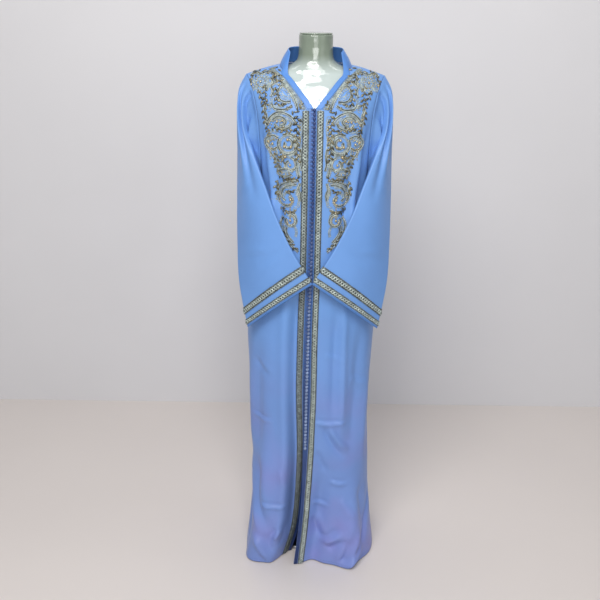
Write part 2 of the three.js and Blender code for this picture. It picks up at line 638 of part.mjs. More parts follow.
for (const [name, side] of [['right', 1], ['left', -1]]) {
  const front = frontSheet(side);
  front.leans = leansOf(front);
  add(`front_${name}`, wall(front), satin);
  add(`placket_${name}`,
    wall(patch(front, upTo(front.rows, VEE), strip(0)), onCloth), band);
  add(`front_braid_${name}`,
    wall(patch(front, upTo(front.rows, ARMPIT), strip(1)), onCloth), metalThread);

  const sleeve = sleeveSheet(side);
  sleeve.leans = leansOf(sleeve);
  const around = Array.from({ length: SLEEVE_AROUND }, (_, k) => k);
  const clothRows = Array.from({ length: SLEEVE_ROWS.length + CUFF_LINES.length - 1 }, (_, i) => i);
  add(`sleeve_${name}`, wall(patch(sleeve, clothRows, around, true)), satin);
  add(`cuff_braid_${name}_upper`, wall(cuffRing(sleeve, 0, BRAID_INSET), onCloth), metalThread);
  add(`cuff_braid_${name}_lower`, wall(cuffRing(sleeve, 2, BRAID_INSET), onCloth), metalThread);
  add(`cuff_edge_${name}`, wall(cuffRing(sleeve, 4, EDGE_INSET), CUFF_ROLL), band);
}

add('back', wall(backSheet()), satin);
add('collar', wall(collarSheet(), { low: -BRAID / 2, high: BRAID / 2 }), band);
add('button_row', buttonRow(), band);

add('form_torso', formTorso(), formShell);
const neckTop = FORM.at(-1).z;
const cap = add('form_cap', turned(CAP_PROFILE, 24), steel);
cap.position.set(0, CAP_Y, neckTop + LAY);
const base = add('stand_base', turned(BASE_PROFILE, 36), steel);
base.position.set(0, STAND_Y, 0);
const poleFoot = BASE_HEIGHT + LAY;
const poleLength = FORM[0].z - LAY - poleFoot;
const pole = add('stand_pole',
  turned([...FOOT_PROFILE, [POLE_RADIUS, poleLength], [0, poleLength]], 16), steel);
pole.position.set(0, STAND_Y, poleFoot);

export default kaftan;
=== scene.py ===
# A long-sleeved kaftan worn by a limbless display form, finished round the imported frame.
# Lengths are in millimetres in the frame's own axes until a mesh is put down in metres.
import math

import bpy
import numpy as np
from mathutils import Matrix


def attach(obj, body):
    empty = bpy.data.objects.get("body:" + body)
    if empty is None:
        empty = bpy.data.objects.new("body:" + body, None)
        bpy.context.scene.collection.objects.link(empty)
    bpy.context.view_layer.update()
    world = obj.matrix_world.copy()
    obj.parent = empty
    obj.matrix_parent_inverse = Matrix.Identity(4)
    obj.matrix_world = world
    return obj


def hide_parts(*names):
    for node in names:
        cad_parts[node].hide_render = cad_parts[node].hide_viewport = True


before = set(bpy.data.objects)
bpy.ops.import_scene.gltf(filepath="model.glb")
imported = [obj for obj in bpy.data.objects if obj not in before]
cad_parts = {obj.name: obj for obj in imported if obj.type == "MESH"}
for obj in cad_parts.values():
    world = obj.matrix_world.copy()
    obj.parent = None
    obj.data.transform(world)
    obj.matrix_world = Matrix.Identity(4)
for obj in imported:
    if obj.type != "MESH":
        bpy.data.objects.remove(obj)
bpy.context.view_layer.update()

# ---------------------------------------------------------------- room
# A plain pale floor and wall, with large soft lights in front and above. The camera stands at
# eye height and looks down a little. Places here are in metres.
LENS, SIDE_SHIFT = 51.3, -0.02108
EYE, LOOK_DOWN, ROLL = (0, -2.45, 1.75), 69.5, 0.013
camera = bpy.data.objects.new("camera", bpy.data.cameras.new("camera"))
camera.data.sensor_width = 36
camera.data.lens = LENS
camera.data.shift_x = SIDE_SHIFT
camera.matrix_world = (
    Matrix.Translation(EYE)
    @ Matrix.Rotation(math.radians(LOOK_DOWN), 4, "X")
    @ Matrix.Rotation(ROLL, 4, "Z")
)
bpy.context.collection.objects.link(camera)
bpy.context.scene.camera = camera
bpy.context.scene.view_settings.view_transform = "Standard"


def new_material(name, roughness, metallic=0.0, **sockets):
    """A material with its node tree and its Principled shader, whose plain values are set."""
    material = bpy.data.materials.new(name)
    material.use_nodes = True
    shader = material.node_tree.nodes["Principled BSDF"]
    shader.inputs["Roughness"].default_value = roughness
    shader.inputs["Metallic"].default_value = metallic
    for label, value in sockets.items():
        shader.inputs[label.replace("_", " ")].default_value = value
    return material, material.node_tree, shader


def add_node(tree, kind, inputs=None, **settings):
    """A shader node. Each input is given a plain value, or a socket that it is linked to."""
    made = tree.nodes.new(kind)
    for label, value in settings.items():
        setattr(made, label, value)
    for label, value in (inputs or {}).items():
        if isinstance(value, bpy.types.NodeSocket):
            tree.links.new(value, made.inputs[label])
        else:
            made.inputs[label].default_value = value
    return made


def noise(tree, vector, scale, detail=2.0, rough=0.5):
    """Factor socket of a noise texture."""
    return add_node(
        tree, "ShaderNodeTexNoise",
        {"Vector": vector, "Scale": scale, "Detail": detail, "Roughness": rough},
    ).outputs["Fac"]


def blend_colors(tree, factor, first, second, mode="MIX"):
    """Colour socket between two colours."""
    made = add_node(tree, "ShaderNodeMix", data_type="RGBA", blend_type=mode)
    for socket, value in ((made.inputs[0], factor), (made.inputs[6], first), (made.inputs[7], second)):
        if isinstance(value, bpy.types.NodeSocket):
            tree.links.new(value, socket)
        else:
            socket.default_value = value
    return made.outputs[2]


def remap(tree, value, low, high, to_low=0.0, to_high=1.0):
    """Socket that turns low..high into to_low..to_high, held at both ends."""
    return add_node(
        tree, "ShaderNodeMapRange",
        {"Value": value, "From Min": low, "From Max": high, "To Min": to_low, "To Max": to_high},
    ).outputs["Result"]


def bump(tree, height, strength, distance, shader):
    """Bump of the height, in metres of distance, on the shader's normal."""
    made = add_node(
        tree, "ShaderNodeBump", {"Height": height, "Strength": strength, "Distance": distance})
    tree.links.new(made.outputs["Normal"], shader.inputs["Normal"])


def flat_piece(name, corners, color, roughness, grain):
    """A four-cornered plane of the room with a faint mottled finish, clear from its back."""
    mesh = bpy.data.meshes.new(name)
    mesh.from_pydata(corners, [], [(0, 1, 2, 3)])
    piece = bpy.data.objects.new(name, mesh)
    bpy.context.collection.objects.link(piece)
    material, tree, shader = new_material(name, roughness)
    place = add_node(tree, "ShaderNodeTexCoord").outputs["Object"]
    darker = tuple(0.93 * c for c in color[:3]) + (1,)
    shade = blend_colors(tree, noise(tree, place, grain, 4), color, darker)
    tree.links.new(shade, shader.inputs["Base Color"])
    behind = add_node(tree, "ShaderNodeNewGeometry").outputs["Backfacing"]
    tree.links.new(remap(tree, behind, 0, 1, 1, 0), shader.inputs["Alpha"])
    mesh.materials.append(material)
    return piece


ROOM_WIDE, ROOM_FRONT, WALL_Y, WALL_TOP = 5.0, -5.0, 0.93, 3.4
wall_foot = [(-ROOM_WIDE, WALL_Y, 0), (ROOM_WIDE, WALL_Y, 0)]
wall_head = [(ROOM_WIDE, WALL_Y, WALL_TOP), (-ROOM_WIDE, WALL_Y, WALL_TOP)]
floor_front = [(-ROOM_WIDE, ROOM_FRONT, 0), (ROOM_WIDE, ROOM_FRONT, 0)]
flat_piece("floor", floor_front + wall_foot[::-1], (0.76, 0.70, 0.66, 1), 0.35, 1.3)
flat_piece("wall", wall_foot + wall_head, (0.74, 0.73, 0.74, 1), 0.9, 2.2)


def soft_light(name, place, aim, width, height, power, color=(1, 1, 1)):
    """A rectangular soft light at a place, turned towards a point."""
    lamp = bpy.data.lights.new(name, "AREA")
    lamp.shape = "RECTANGLE"
    lamp.size, lamp.size_y = width, height
    lamp.energy = power
    lamp.color = color
    light = bpy.data.objects.new(name, lamp)
    way = np.array(aim, float) - np.array(place, float)
    light.location = place
    light.rotation_euler = (
        math.atan2(math.hypot(way[0], way[1]), -way[2]), 0, math.atan2(-way[0], way[1]))
    bpy.context.collection.objects.link(light)


soft_light("ceiling_light", (-0.4, -2.2, 3.3), (0, 0, 0.8), 2.0, 1.2, 80, (1, 0.985, 0.96))
soft_light("front_light", (0, -3.3, 1.8), (0, 0, 0.8), 1.6, 1.0, 28)
soft_light("right_light", (2.3, -2.4, 2.0), (0, 0, 0.9), 1.6, 1.8, 5)
soft_light("wall_light", (0.5, 0.0, 3.2), (0.7, 0.93, 0.3), 3.0, 0.3, 9)
world = bpy.data.worlds.new("room")
world.use_nodes = True
world.node_tree.nodes["Background"].inputs["Color"].default_value = (0.86, 0.9, 1, 1)
world.node_tree.nodes["Background"].inputs["Strength"].default_value = 0.26
bpy.context.scene.world = world

# ---------------------------------------------------------------- stand
# A turned steel foot: a flat round base and a pole with a collar at its foot. Each is a profile
# turned about the upright axis and brushed round.
STAND_Y = 15.0
MM = 0.001


def grid_faces(rows, columns, closed=False, start=0):
    """Four-sided faces of a grid of points, anticlockwise where rows run up and columns right."""
    i = np.arange(rows - 1)[:, None] * columns + start
    j = np.arange(columns if closed else columns - 1)[None, :]
    a, b = i + j, i + (j + 1) % columns
    return np.stack([a, b, b + columns, a + columns], -1).reshape(-1, 4)


def grid_uv(rows, columns, closed, across=1.0, along=1.0):
    """Each face's corners on the unrolled grid, times the sizes across and along."""
    i = np.arange(rows - 1)[:, None]
    j = np.arange(columns if closed else columns - 1)[None, :]
    u = np.stack([j + 0 * i, j + 1 + 0 * i, j + 1 + 0 * i, j + 0 * i], -1).reshape(-1, 4)
    v = np.stack([i + 0 * j, i + 0 * j, i + 1 + 0 * j, i + 1 + 0 * j], -1).reshape(-1, 4)
    steps = columns if closed else columns - 1
    return np.stack([u * across / steps, v * along / (rows - 1)], -1)


def put_down(name, parts, material, smooth=True):
    """One piece from parts of (points, faces, corner uv, tone of the part), riding on the body."""
    points, faces, corners, tones = [], [], [], []
    count = 0
    for place, ring, uv, tone in parts:
        flat = np.reshape(place, (-1, 3))
        points.append(flat)
        if isinstance(ring, np.ndarray):
            faces.extend((ring + count).tolist())
        else:
            faces.extend((np.asarray(face) + count).tolist() for face in ring)
        corners.append(np.reshape(uv, (-1, 2)))
        tones.append(np.broadcast_to(tone, len(flat)))
        count += len(flat)
    mesh = bpy.data.meshes.new(name)
    mesh.from_pydata((np.concatenate(points) * MM).tolist(), [], faces)
    layer = mesh.uv_layers.new(name="UVMap")
    layer.data.foreach_set("uv", np.concatenate(corners).astype(np.float32).ravel())
    tone_layer = mesh.attributes.new("tone", "FLOAT", "POINT")
    tone_layer.data.foreach_set("value", np.concatenate(tones).astype(np.float32))
    mesh.polygons.foreach_set("use_smooth", np.full(len(mesh.polygons), smooth))
    mesh.materials.append(material)
    mesh.update()
    piece = bpy.data.objects.new(name, mesh)
    bpy.context.collection.objects.link(piece)
    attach(piece, "root")
    return piece


def turned(profile, sides, centre_y, height=0.0):
    """Radius and height pairs turned about the upright line at centre_y, closed top and bottom."""
    profile = np.array(profile, float)
    angle = np.linspace(0, 2 * np.pi, sides, endpoint=False)
    points = np.stack([
        profile[:, :1] * np.cos(angle), profile[:, :1] * np.sin(angle) + centre_y,
        profile[:, 1:] + 0 * angle + height], -1)
    rings = len(profile)
    last = (rings - 1) * sides
    ends = [np.arange(sides)[::-1], last + np.arange(sides)]
    faces = list(grid_faces(rings, sides, True)) + ends
    corners = np.concatenate([grid_uv(rings, sides, True).reshape(-1, 2), np.zeros((2 * sides, 2))])
    return points, faces, corners, 0.0


def rounded(profile, radius=1.2):
    """The profile with each inner corner cut by two points on a short curve."""
    out = [profile[0]]
    for before, corner, after in zip(profile, profile[1:], profile[2:]):
        corner = np.array(corner, float)
        for other in (before, after):
            way = np.array(other, float) - corner
            out.append(tuple(corner + way * min(radius / np.hypot(*way), 0.45)))
    return out + [profile[-1]]


steel, tree, shader = new_material("brushed steel", 0.32, 1.0, Anisotropic=0.5)
place = add_node(tree, "ShaderNodeTexCoord").outputs["Object"]
stretched = add_node(tree, "ShaderNodeMapping", {"Vector": place, "Scale": (14, 14, 900)}).outputs[0]
streaks = noise(tree, stretched, 1.0, 3)
tree.links.new(blend_colors(tree, streaks, (0.42, 0.43, 0.44, 1), (0.62, 0.63, 0.64, 1)),
               shader.inputs["Base Color"])
tree.links.new(remap(tree, streaks, 0.3, 0.7, 0.24, 0.42), shader.inputs["Roughness"])
bump(tree, streaks, 0.15, 0.0002, shader)

base = put_down("base_plate", [turned(rounded([
    (0.5, 0), (130, 0), (130, 7), (126, 10), (0.5, 10)], 1), 96, STAND_Y)], steel)
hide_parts("stand_base")
pole = put_down("pole_and_collar", [turned(rounded([
    (0.5, 10.3), (26, 10.3), (24, 22.3), (14, 28.3), (14, 699.7), (0.5, 699.7)]), 48, STAND_Y)],
    steel)
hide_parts("stand_pole")

# ---------------------------------------------------------------- display form
# A headless, armless torso blown in pale grey-green plastic and polished, with a fitted cap on
# its neck. It is a stack of rounded sections with a soft bust.
FORM = np.array([
    # z, half width, front, back, squareness
    [700, 128, -92, 92, 2.3],
    [790, 150, -104, 100, 2.3],
    [880, 156, -106, 104, 2.3],
    [980, 136, -98, 92, 2.2],
    [1080, 118, -92, 80, 2.2],
    [1160, 124, -98, 86, 2.2],
    [1230, 132, -106, 92, 2.2],
    [1290, 138, -116, 94, 2.2],
    [1350, 146, -116, 94, 2.1],
    [1400, 152.5, -108, 88.5, 2.1],
    [1440, 156.5, -96, 80.8, 2.1],
    [1471, 157, -82, 68.8, 2],
    [1494.6, 150.5, -68.7, 58.8, 2],
    [1510.3, 132.8, -59.7, 53.8, 2],
    [1520.2, 110.5, -55.7, 51.8, 2],
    [1527.5, 85.5, -52.5, 50.5, 2],
    [1538, 60, -49, 50, 2],
    [1556, 49, -45, 47, 2],
    [1612, 47, -44, 46, 2],
])
BUST_X, BUST_Z, BUST_RISE, BUST_WIDE, BUST_TALL = 74, 1262, 20, 40, 62


def spline(a, b, c, d, t):
    """Catmull-Rom curve from b to c as t goes from 0 to 1, with a before them and d after."""
    return b + 0.5 * t * (c - a + t * (2 * a - 5 * b + 4 * c - d + t * (3 * (b - c) + d - a)))


def between(rows, v, breaks=()):
    """Every column at row numbers v: a Catmull-Rom curve through the rows. It bends sharply at
    a row named in breaks, because the points beyond a break count as the break's own."""
    v = np.asarray(v, float)
    i = np.minimum(np.floor(v).astype(int), len(rows) - 2)
    t = (v - i)[..., None]
    low, high = np.zeros_like(i), np.full_like(i, len(rows) - 1)
    for row in breaks:
        low = np.where(row <= i, np.maximum(low, row), low)
        high = np.where(row > i, np.minimum(high, row), high)
    return spline(*(rows[np.clip(i + k, low, high)] for k in (-1, 0, 1, 2)), t)


def form_surface(rows, around):
    """Rounded section at each height: half width times cos and depth times sin of the angle, to
    the power 2 / squareness, and a bust added as two soft bells on the front."""
    v = np.linspace(0, len(FORM) - 1, rows)
    z, half, front, back, square = (between(FORM, v)[:, k][:, None] for k in range(5))
    angle = np.linspace(0, 2 * np.pi, around, endpoint=False)[None, :]
    cos, sin = np.cos(angle), np.sin(angle)
    x = half * np.sign(cos) * np.abs(cos) ** (2 / square)
    deep = np.where(sin < 0, -front, back)
    y = deep * np.sign(sin) * np.abs(sin) ** (2 / square)
    away = ((np.abs(x) - BUST_X) / BUST_WIDE) ** 2 + ((z - BUST_Z) / BUST_TALL) ** 2
    y = y - np.where(y < 0, BUST_RISE * np.exp(-away) * np.minimum(1, -y / 40), 0)
    return np.stack([x, y, z + 0 * x], -1)


shell_finish, tree, shader = new_material(
    "polished form shell", 0.09, Coat_Weight=0.6, Coat_Roughness=0.03, Specular_IOR_Level=0.6)
place = add_node(tree, "ShaderNodeTexCoord").outputs["Object"]
clouds = noise(tree, place, 7, 3)
pale = blend_colors(tree, clouds, (0.42, 0.50, 0.48, 1), (0.58, 0.64, 0.62, 1))
height = add_node(tree, "ShaderNodeSeparateXYZ", {"Vector": place}).outputs["Z"]
neck = remap(tree, height, 1.51, 1.56)
tree.links.new(blend_colors(tree, neck, pale, (0.21, 0.255, 0.20, 1)), shader.inputs["Base Color"])
ripple = noise(tree, place, 22, 1)
bump(tree, ripple, 0.8, 0.008, shader)
FORM_ROWS, FORM_ROUND = 150, 96
torso = form_surface(FORM_ROWS, FORM_ROUND)
ends = [np.arange(FORM_ROUND)[::-1], (FORM_ROWS - 1) * FORM_ROUND + np.arange(FORM_ROUND)]
form = put_down("form_shell", [(
    torso, list(grid_faces(FORM_ROWS, FORM_ROUND, True)) + ends,
    np.concatenate([grid_uv(FORM_ROWS, FORM_ROUND, True).reshape(-1, 2),
                    np.zeros((2 * FORM_ROUND, 2))]), 0.0)], shell_finish)
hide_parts("form_torso")
cap = put_down("neck_cap", [turned(rounded([
    (0.5, 0), (44, 0), (46, 1.5), (45, 4), (0.5, 4.2)], 0.8), 64, 1.0, 1612.3)],
    shell_finish)
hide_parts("form_cap")

# ---------------------------------------------------------------- fronts and back
# Two fronts and a one-piece back in soft satin crepe, cut straight and full, and sewn at the
# sides and shoulders. They hang from the form's shoulders in long folds with short creases.
SECTIONS = np.array([
    # zIn, xR, yR, xL, yL (inner end, right and left), zOut, xOut, yOut (side), squareness
    [3, -50, -186, 60, -184, 3, 208, -5, 3.6],
    [110, -38, -182, 32, -180, 110, 196, -5, 3.2],
    [240, -27, -177, 20, -174, 240, 185, -4, 2.9],
    [409, -22, -169, 13, -165, 409, 183, -3, 2.7],
    [582, -15, -163, 15, -159, 582, 185, -2, 2.6],
    [742, -11, -158, 13, -156, 742, 192, 0, 2.5],
    [860, -8.5, -154, 10.5, -153, 860, 191, 0, 2.4],
    [950, -5.5, -151, 7.5, -151, 950, 184, 0, 2.4],
    [1035, -4, -148, 6, -148, 1035, 172, 0, 2.4],
    [1115, -3, -146, 5, -146, 1115, 160, 0, 2.4],
    [1200, -2, -144, 4, -144, 1190, 152, 0, 2.4],
    [1280, -1.4, -139, 3.4, -139, 1260, 150, -46, 2.3],
    [1360, -0.8, -129, 2.8, -129, 1335, 152, -68, 2.1],
    [1424, 0, -117, 3, -117, 1405, 158, -72, 1.9],
    [1446, 18, -106, 18, -106, 1440, 165, -62, 1.6],
    [1468, 37, -91, 37, -91, 1468, 173, -46, 1.45],
    [1497, 62, -68, 62, -68, 1490, 182, -25, 1.35],
    [1518, 88, -40, 88, -40, 1500, 188, -10, 1.3],
    [1527, 98, -14, 98, -14, 1504, 191, 0, 1.25],
    [1530, 96, 12, 96, 12, 1500, 188, 14, 1.3],
    [1531, 83, 38, 83, 38, 1486, 181, 38, 1.4],
    [1531, 58, 58, 58, 58, 1455, 170, 62, 1.5],
    [1529, 29, 70, 29, 70, 1415, 160, 76, 1.7],
    [1527, 0, 74, 0, 74, 1365, 152, 80, 1.9],
    [1430, 0, 91, 0, 91, 1300, 149, 72, 2],
    [1315, 0, 106, 0, 106, 1237, 150, 44, 2.1],
    [1200, 0, 110, 0, 110, 1190, 152, 0, 2.3],
    [1115, 0, 108, 0, 108, 1115, 160, 0, 2.3],
    [1035, 0, 105, 0, 105, 1035, 172, 0, 2.3],
    [950, 0, 108, 0, 108, 950, 184, 0, 2.3],
    [860, 0, 115, 0, 115, 860, 191, 0, 2.4],
    [742, 0, 124, 0, 124, 742, 192, 0, 2.5],
    [582, 0, 133, 0, 133, 582, 185, -2, 2.6],
    [409, 0, 141, 0, 141, 409, 183, -3, 2.7],
    [240, 0, 149, 0, 149, 240, 185, -4, 2.8],
    [110, 0, 156, 0, 156, 110, 196, -5, 3],
    [3, 0, 162, 0, 162, 3, 208, -5, 3.2],
])
HEM, ARMPIT, VEE, SHOULDER, NECK_BACK, ARMPIT_BACK, HEM_BACK = 0, 10, 13, 18, 23, 26, 36
BREAKS = (ARMPIT, VEE, NECK_BACK, ARMPIT_BACK)
SHOULDER_GAP = 0.03
FOLDS = {
    # sTop, sLow, zTop, zLow, depth, width, fade: long folds by their distance from the edge
    "right": [
        [62, 56, 430, -200, -27, 30, 260],
        [160, 172, 340, -200, 32, 34, 240],
        [102, 116, 900, 430, 8, 13, 120],
        [78, 84, 900, 470, -7, 14, 140],
        [165, 150, 840, 330, -8, 22, 160],
        [214, 205, 700, 300, 7, 20, 160],
        [282, 206, 250, 30, -12, 15, 70],
        [136, 98, 1350, 1010, 8, 12, 90],
        [116, 76, 1330, 1010, -8, 11, 90],
        [175, 136, 1440, 980, -26, 16, 90],
    ],
    "left": [
        [0, 0, 700, -700, -70, 45, 700],
        [38, 38, 950, 60, -17, 16, 130],
        [70, 62, 930, -100, 7, 17, 130],
        [128, 134, 460, -200, 20, 36, 280],
        [150, 168, 800, 300, -7, 24, 170],
        [206, 214, 720, 280, 6, 20, 160],
        [262, 170, 240, 30, -11, 14, 70],
        [134, 98, 1350, 1010, 8, 12, 90],
        [114, 78, 1330, 1010, -8, 11, 90],
        [173, 134, 1430, 980, -25, 16, 90],
    ],
    "back right": [
        [44, 58, 1330, -200, -9, 17, 260],
        [92, 112, 1200, -200, 9, 20, 260],
        [150, 170, 1010, -200, -10, 19, 260],
        [205, 226, 760, -200, 9, 20, 260],
    ],
    "back left": [
        [52, 50, 1300, -200, -8, 18, 260],
        [100, 100, 1180, -200, 10, 19, 260],
        [158, 152, 980, -200, -9, 20, 260],
        [212, 214, 820, -200, 8, 19, 260],
    ],
}
CREASES = {
    # x0, z0, x1, z1, depth, width: short creases pressed in by folding and wear
    "front": np.array([
        [14, 500, 104, 494, 4.2, 6],
        [40, 480, 106, 372, -5.5, 11],
        [62, 470, 118, 400, 3.5, 9],
        [62, 295, 112, 284, 4.4, 6],
        [8, 222, 58, 206, 4.2, 6],
        [44, 78, 100, 122, 6, 9],
        [58, 60, 112, 96, -6, 11],
        [122, 16, 144, 128, 6.5, 10],
        [100, 20, 116, 96, -5, 10],
        [8, 160, 40, 90, -5, 12],
        [96, 230, 128, 170, 4, 10],
        [150, 250, 172, 120, -5, 12],
        [112, 6, 166, 60, 8, 10],
        [-158, 98, -128, 8, 7, 10],
        [20, 400, 52, 330, -3.5, 12],
        [-172, 490, -118, 494, 3.4, 6],
        [-142, 209, -78, 204, 4.4, 6],
        [-112, 92, -94, 122, 6, 8],
        [-178, 330, -148, 116, 6, 10],
        [-160, 330, -128, 130, -5, 13],
        [-150, 90, -120, 20, 6, 12],
        [-100, 60, -80, 150, -4.5, 11],
        [-96, 330, -60, 250, 3.2, 11],
        [120, 640, 168, 600, 2.6, 9],
        [-168, 680, -120, 640, -2.6, 9],
        [36, 720, 96, 700, 1.8, 8],
        [-120, 1180, -60, 1120, 1.6, 9],
        [64, 1100, 124, 1170, 1.6, 9],
    ], float),
    "back": np.array([
        [-120, 400, -30, 388, 2.4, 7],
        [20, 330, 110, 350, 2.2, 7],
        [60, 180, 130, 150, -3, 10],
        [-140, 160, -70, 190, 2.6, 8],
        [-30, 110, 30, 90, 2.4, 8],
        [70, 80, 120, 110, 2.6, 8],
        [-110, 560, -40, 600, -2, 10],
        [30, 700, 120, 670, 1.8, 9],
        [-130, 860, -60, 890, 1.8, 9],
        [20, 1000, 120, 960, 2.2, 10],
        [-110, 1040, -20, 1010, -2.2, 10],
        [-90, 1420, 0, 1440, 1.6, 9],
        [20, 1400, 100, 1370, -1.6, 10],
    ], float),
}
SIDE_CALM, CREASE_PRESS = 45, 1.5
SWAY_X, SWAY_LOW, SWAY_HIGH, SWAY_FADE = -7, 300, 880, 170
SHOULDER_ROUND = 1.5
SECTION_STEPS, POINTS_AT_ONCE = 64, 20000


def ease(t):
    """0 to 1 with level ends: 3 t squared less 2 t cubed."""
    t = np.clip(t, 0, 1)
    return t * t * (3 - 2 * t)


def plain_section(side, v):
    """Plan of the cloth at row numbers v: a quarter of a superellipse from the inner end round
    to the side, as points, the length up to each, and the heights of both its ends."""
    value = between(SECTIONS, v, BREAKS)
    z_in, z_out, x_out, y_out = value[:, 0], value[:, 5], side * value[:, 6], value[:, 7]
    x_in, y_in = (value[:, 1], value[:, 2]) if side > 0 else (-value[:, 3], value[:, 4])
    x_in = np.where(v > NECK_BACK, 0, x_in)
    power = (2 / value[:, 8])[:, None]
    angle = np.linspace(0, np.pi / 2, SECTION_STEPS + 1)[None, :]
    x = x_in[:, None] + (x_out - x_in)[:, None] * np.sin(angle) ** power
    y = y_in[:, None] + (y_out - y_in)[:, None] * (1 - np.clip(np.cos(angle), 0, 1) ** power)
    points = np.stack([x, y], -1)
    steps = np.linalg.norm(np.diff(points, axis=1), axis=2)
    lengths = np.concatenate([np.zeros((len(v), 1)), np.cumsum(steps, 1)], 1)
    return points, lengths, z_in, z_out


def section_length(side, v):
    """Length of the cloth at each row from its inner end to the side."""
    return plain_section(side, np.atleast_1d(np.asarray(v, float)))[1][:, -1]


def fold_depth(folds, s, z):
    """Sum of bells across the cloth, each fading in and out along its fold."""
    depth = np.zeros_like(s)
    for s_top, s_low, z_top, z_low, deep, width, fade in folds:
        t = (z_top - z) / (z_top - z_low)
        off = (s - (s_top + (s_low - s_top) * t)) / width
        depth += deep * ease((z_top - z) / fade) * ease((z - z_low) / fade) * np.exp(-off * off)
    return depth


def crease_depth(creases, x, z):
    """Sum of ridges along short lines, each with a shallow trough beside it."""
    depth = np.zeros_like(x)
    for x0, z0, x1, z1, deep, width in creases:
        length = math.hypot(x1 - x0, z1 - z0)
        ax, az = (x1 - x0) / length, (z1 - z0) / length
        t = (x - x0) * ax + (z - z0) * az
        off = ((z - z0) * ax - (x - x0) * az + 0.05 * length * np.sin(3 * t / length)) / width
        fade = ease((t + 0.15 * length) / (0.35 * length))
        fade = fade * ease((1.15 * length - t) / (0.5 * length))
        depth += deep * fade * (np.exp(-np.abs(off) ** 1.3) - 0.5 * np.exp(-(off - 1.7) ** 2))
    return CREASE_PRESS * depth


def cloth_at(side, v, s):
    """Points of the body cloth at row numbers v, s millimetres from the inner end: the plain
    section, moved out by the folds and creases and a little aside where the skirt sways."""
    shape = np.broadcast(v, s).shape
    v, s = (np.broadcast_to(a, shape).astype(float).ravel() for a in (v, s))
    out = np.empty((len(v), 3))
    for first in range(0, len(v), POINTS_AT_ONCE):
        part = slice(first, first + POINTS_AT_ONCE)
        points, lengths, z_in, z_out = plain_section(side, v[part])
        want, total = s[part], lengths[:, -1]
        i = np.sum(lengths[:, 1:-1] < want[:, None], axis=1)
        pick = np.arange(len(i))
        start, end = points[pick, i], points[pick, i + 1]
        step = lengths[pick, i + 1] - lengths[pick, i]
        along = (end - start) / step[:, None]
        place = start + along * (want - lengths[pick, i])[:, None]
        z = z_in + (z_out - z_in) * np.clip(want / total, 0, None) ** SHOULDER_ROUND
        front = v[part] < SHOULDER
        facing = np.where(front, side, -side)
        outward = np.stack([along[:, 1], -along[:, 0]], 1) * facing[:, None]
        hand = "right" if side > 0 else "left"
        depth = np.where(
            front,
            fold_depth(FOLDS[hand], want, z) + crease_depth(CREASES["front"], place[:, 0], z),
            fold_depth(FOLDS[f"back {hand}"], want, z)
            + crease_depth(CREASES["back"], place[:, 0], z))
        depth = depth * ease((total - want) / SIDE_CALM)
        place = place + outward * depth[:, None]
        sway = SWAY_X * ease((z - SWAY_LOW) / SWAY_FADE) * ease((SWAY_HIGH - z) / SWAY_FADE)
        out[part, 0] = place[:, 0] + sway * want / total
        out[part, 1] = place[:, 1]
        out[part, 2] = z
    return out.reshape(shape + (3,))


def sheet_of(points, closed=False, flip=False, across=1.0, along=1.0):
    """A grid of points as flat points, faces seen from outside, and their unrolled corners."""
    rows, columns = points.shape[:2]
    faces, corners = grid_faces(rows, columns, closed), grid_uv(rows, columns, closed, across, along)
    if flip:
        faces, corners = faces[:, ::-1], corners[:, ::-1]
    return points.reshape(-1, 3), faces, corners


def unit(vectors):
    """The vectors at length one."""
    return vectors / np.maximum(np.linalg.norm(vectors, axis=-1, keepdims=True), 1e-9)


def outward_of(points, faces):
    """Unit normals of the points: the sum of the cross products of their faces' diagonals."""
    a, b, c, d = (points[faces[:, corner]] for corner in range(4))
    slope = np.cross(c - a, d - b)
    normals = np.zeros_like(points)
    for corner in range(4):
        np.add.at(normals, faces[:, corner], slope)
    return unit(normals)


def wall_of(sheet, low, high):
    """A wall: the sheet moved along its normals to low and to high, and a rim between the two
    along every edge that only one face has."""
    points, faces, corners = sheet
    outward, count = outward_of(points, faces), len(points)
    start, end = faces.ravel(), np.roll(faces, -1, 1).ravel()
    free = ~np.isin(start * count + end, end * count + start)
    start, end = start[free], end[free]
    rim = np.stack([end, start, start + count, end + count], 1)
    low, high = (np.broadcast_to(a, count)[:, None] for a in (low, high))
    return (np.concatenate([points + outward * high, points + outward * low]),
            np.concatenate([faces, faces[:, ::-1] + count, rim]),
            np.concatenate([corners, corners[:, ::-1], np.zeros((len(rim), 4, 2))]), 0.0)


def worked_out(tree, operation, *values):
    """Socket with the outcome of one sum."""
    return add_node(
        tree, "ShaderNodeMath", dict(enumerate(values)), operation=operation).outputs[0]


def new_group(name, colors, numbers):
    """Node group that gives a colour and a height, what it's given, and what it puts out."""
    group = bpy.data.node_groups.new(name, "ShaderNodeTree")
    for kind, labels in (("Color", colors), ("Float", numbers)):
        for label in labels:
            group.interface.new_socket(label, in_out="INPUT", socket_type="NodeSocket" + kind)
    group.interface.new_socket("Color", in_out="OUTPUT", socket_type="NodeSocketColor")
    group.interface.new_socket("Height", in_out="OUTPUT", socket_type="NodeSocketFloat")
    return group, group.nodes.new("NodeGroupInput").outputs, group.nodes.new("NodeGroupOutput").inputs


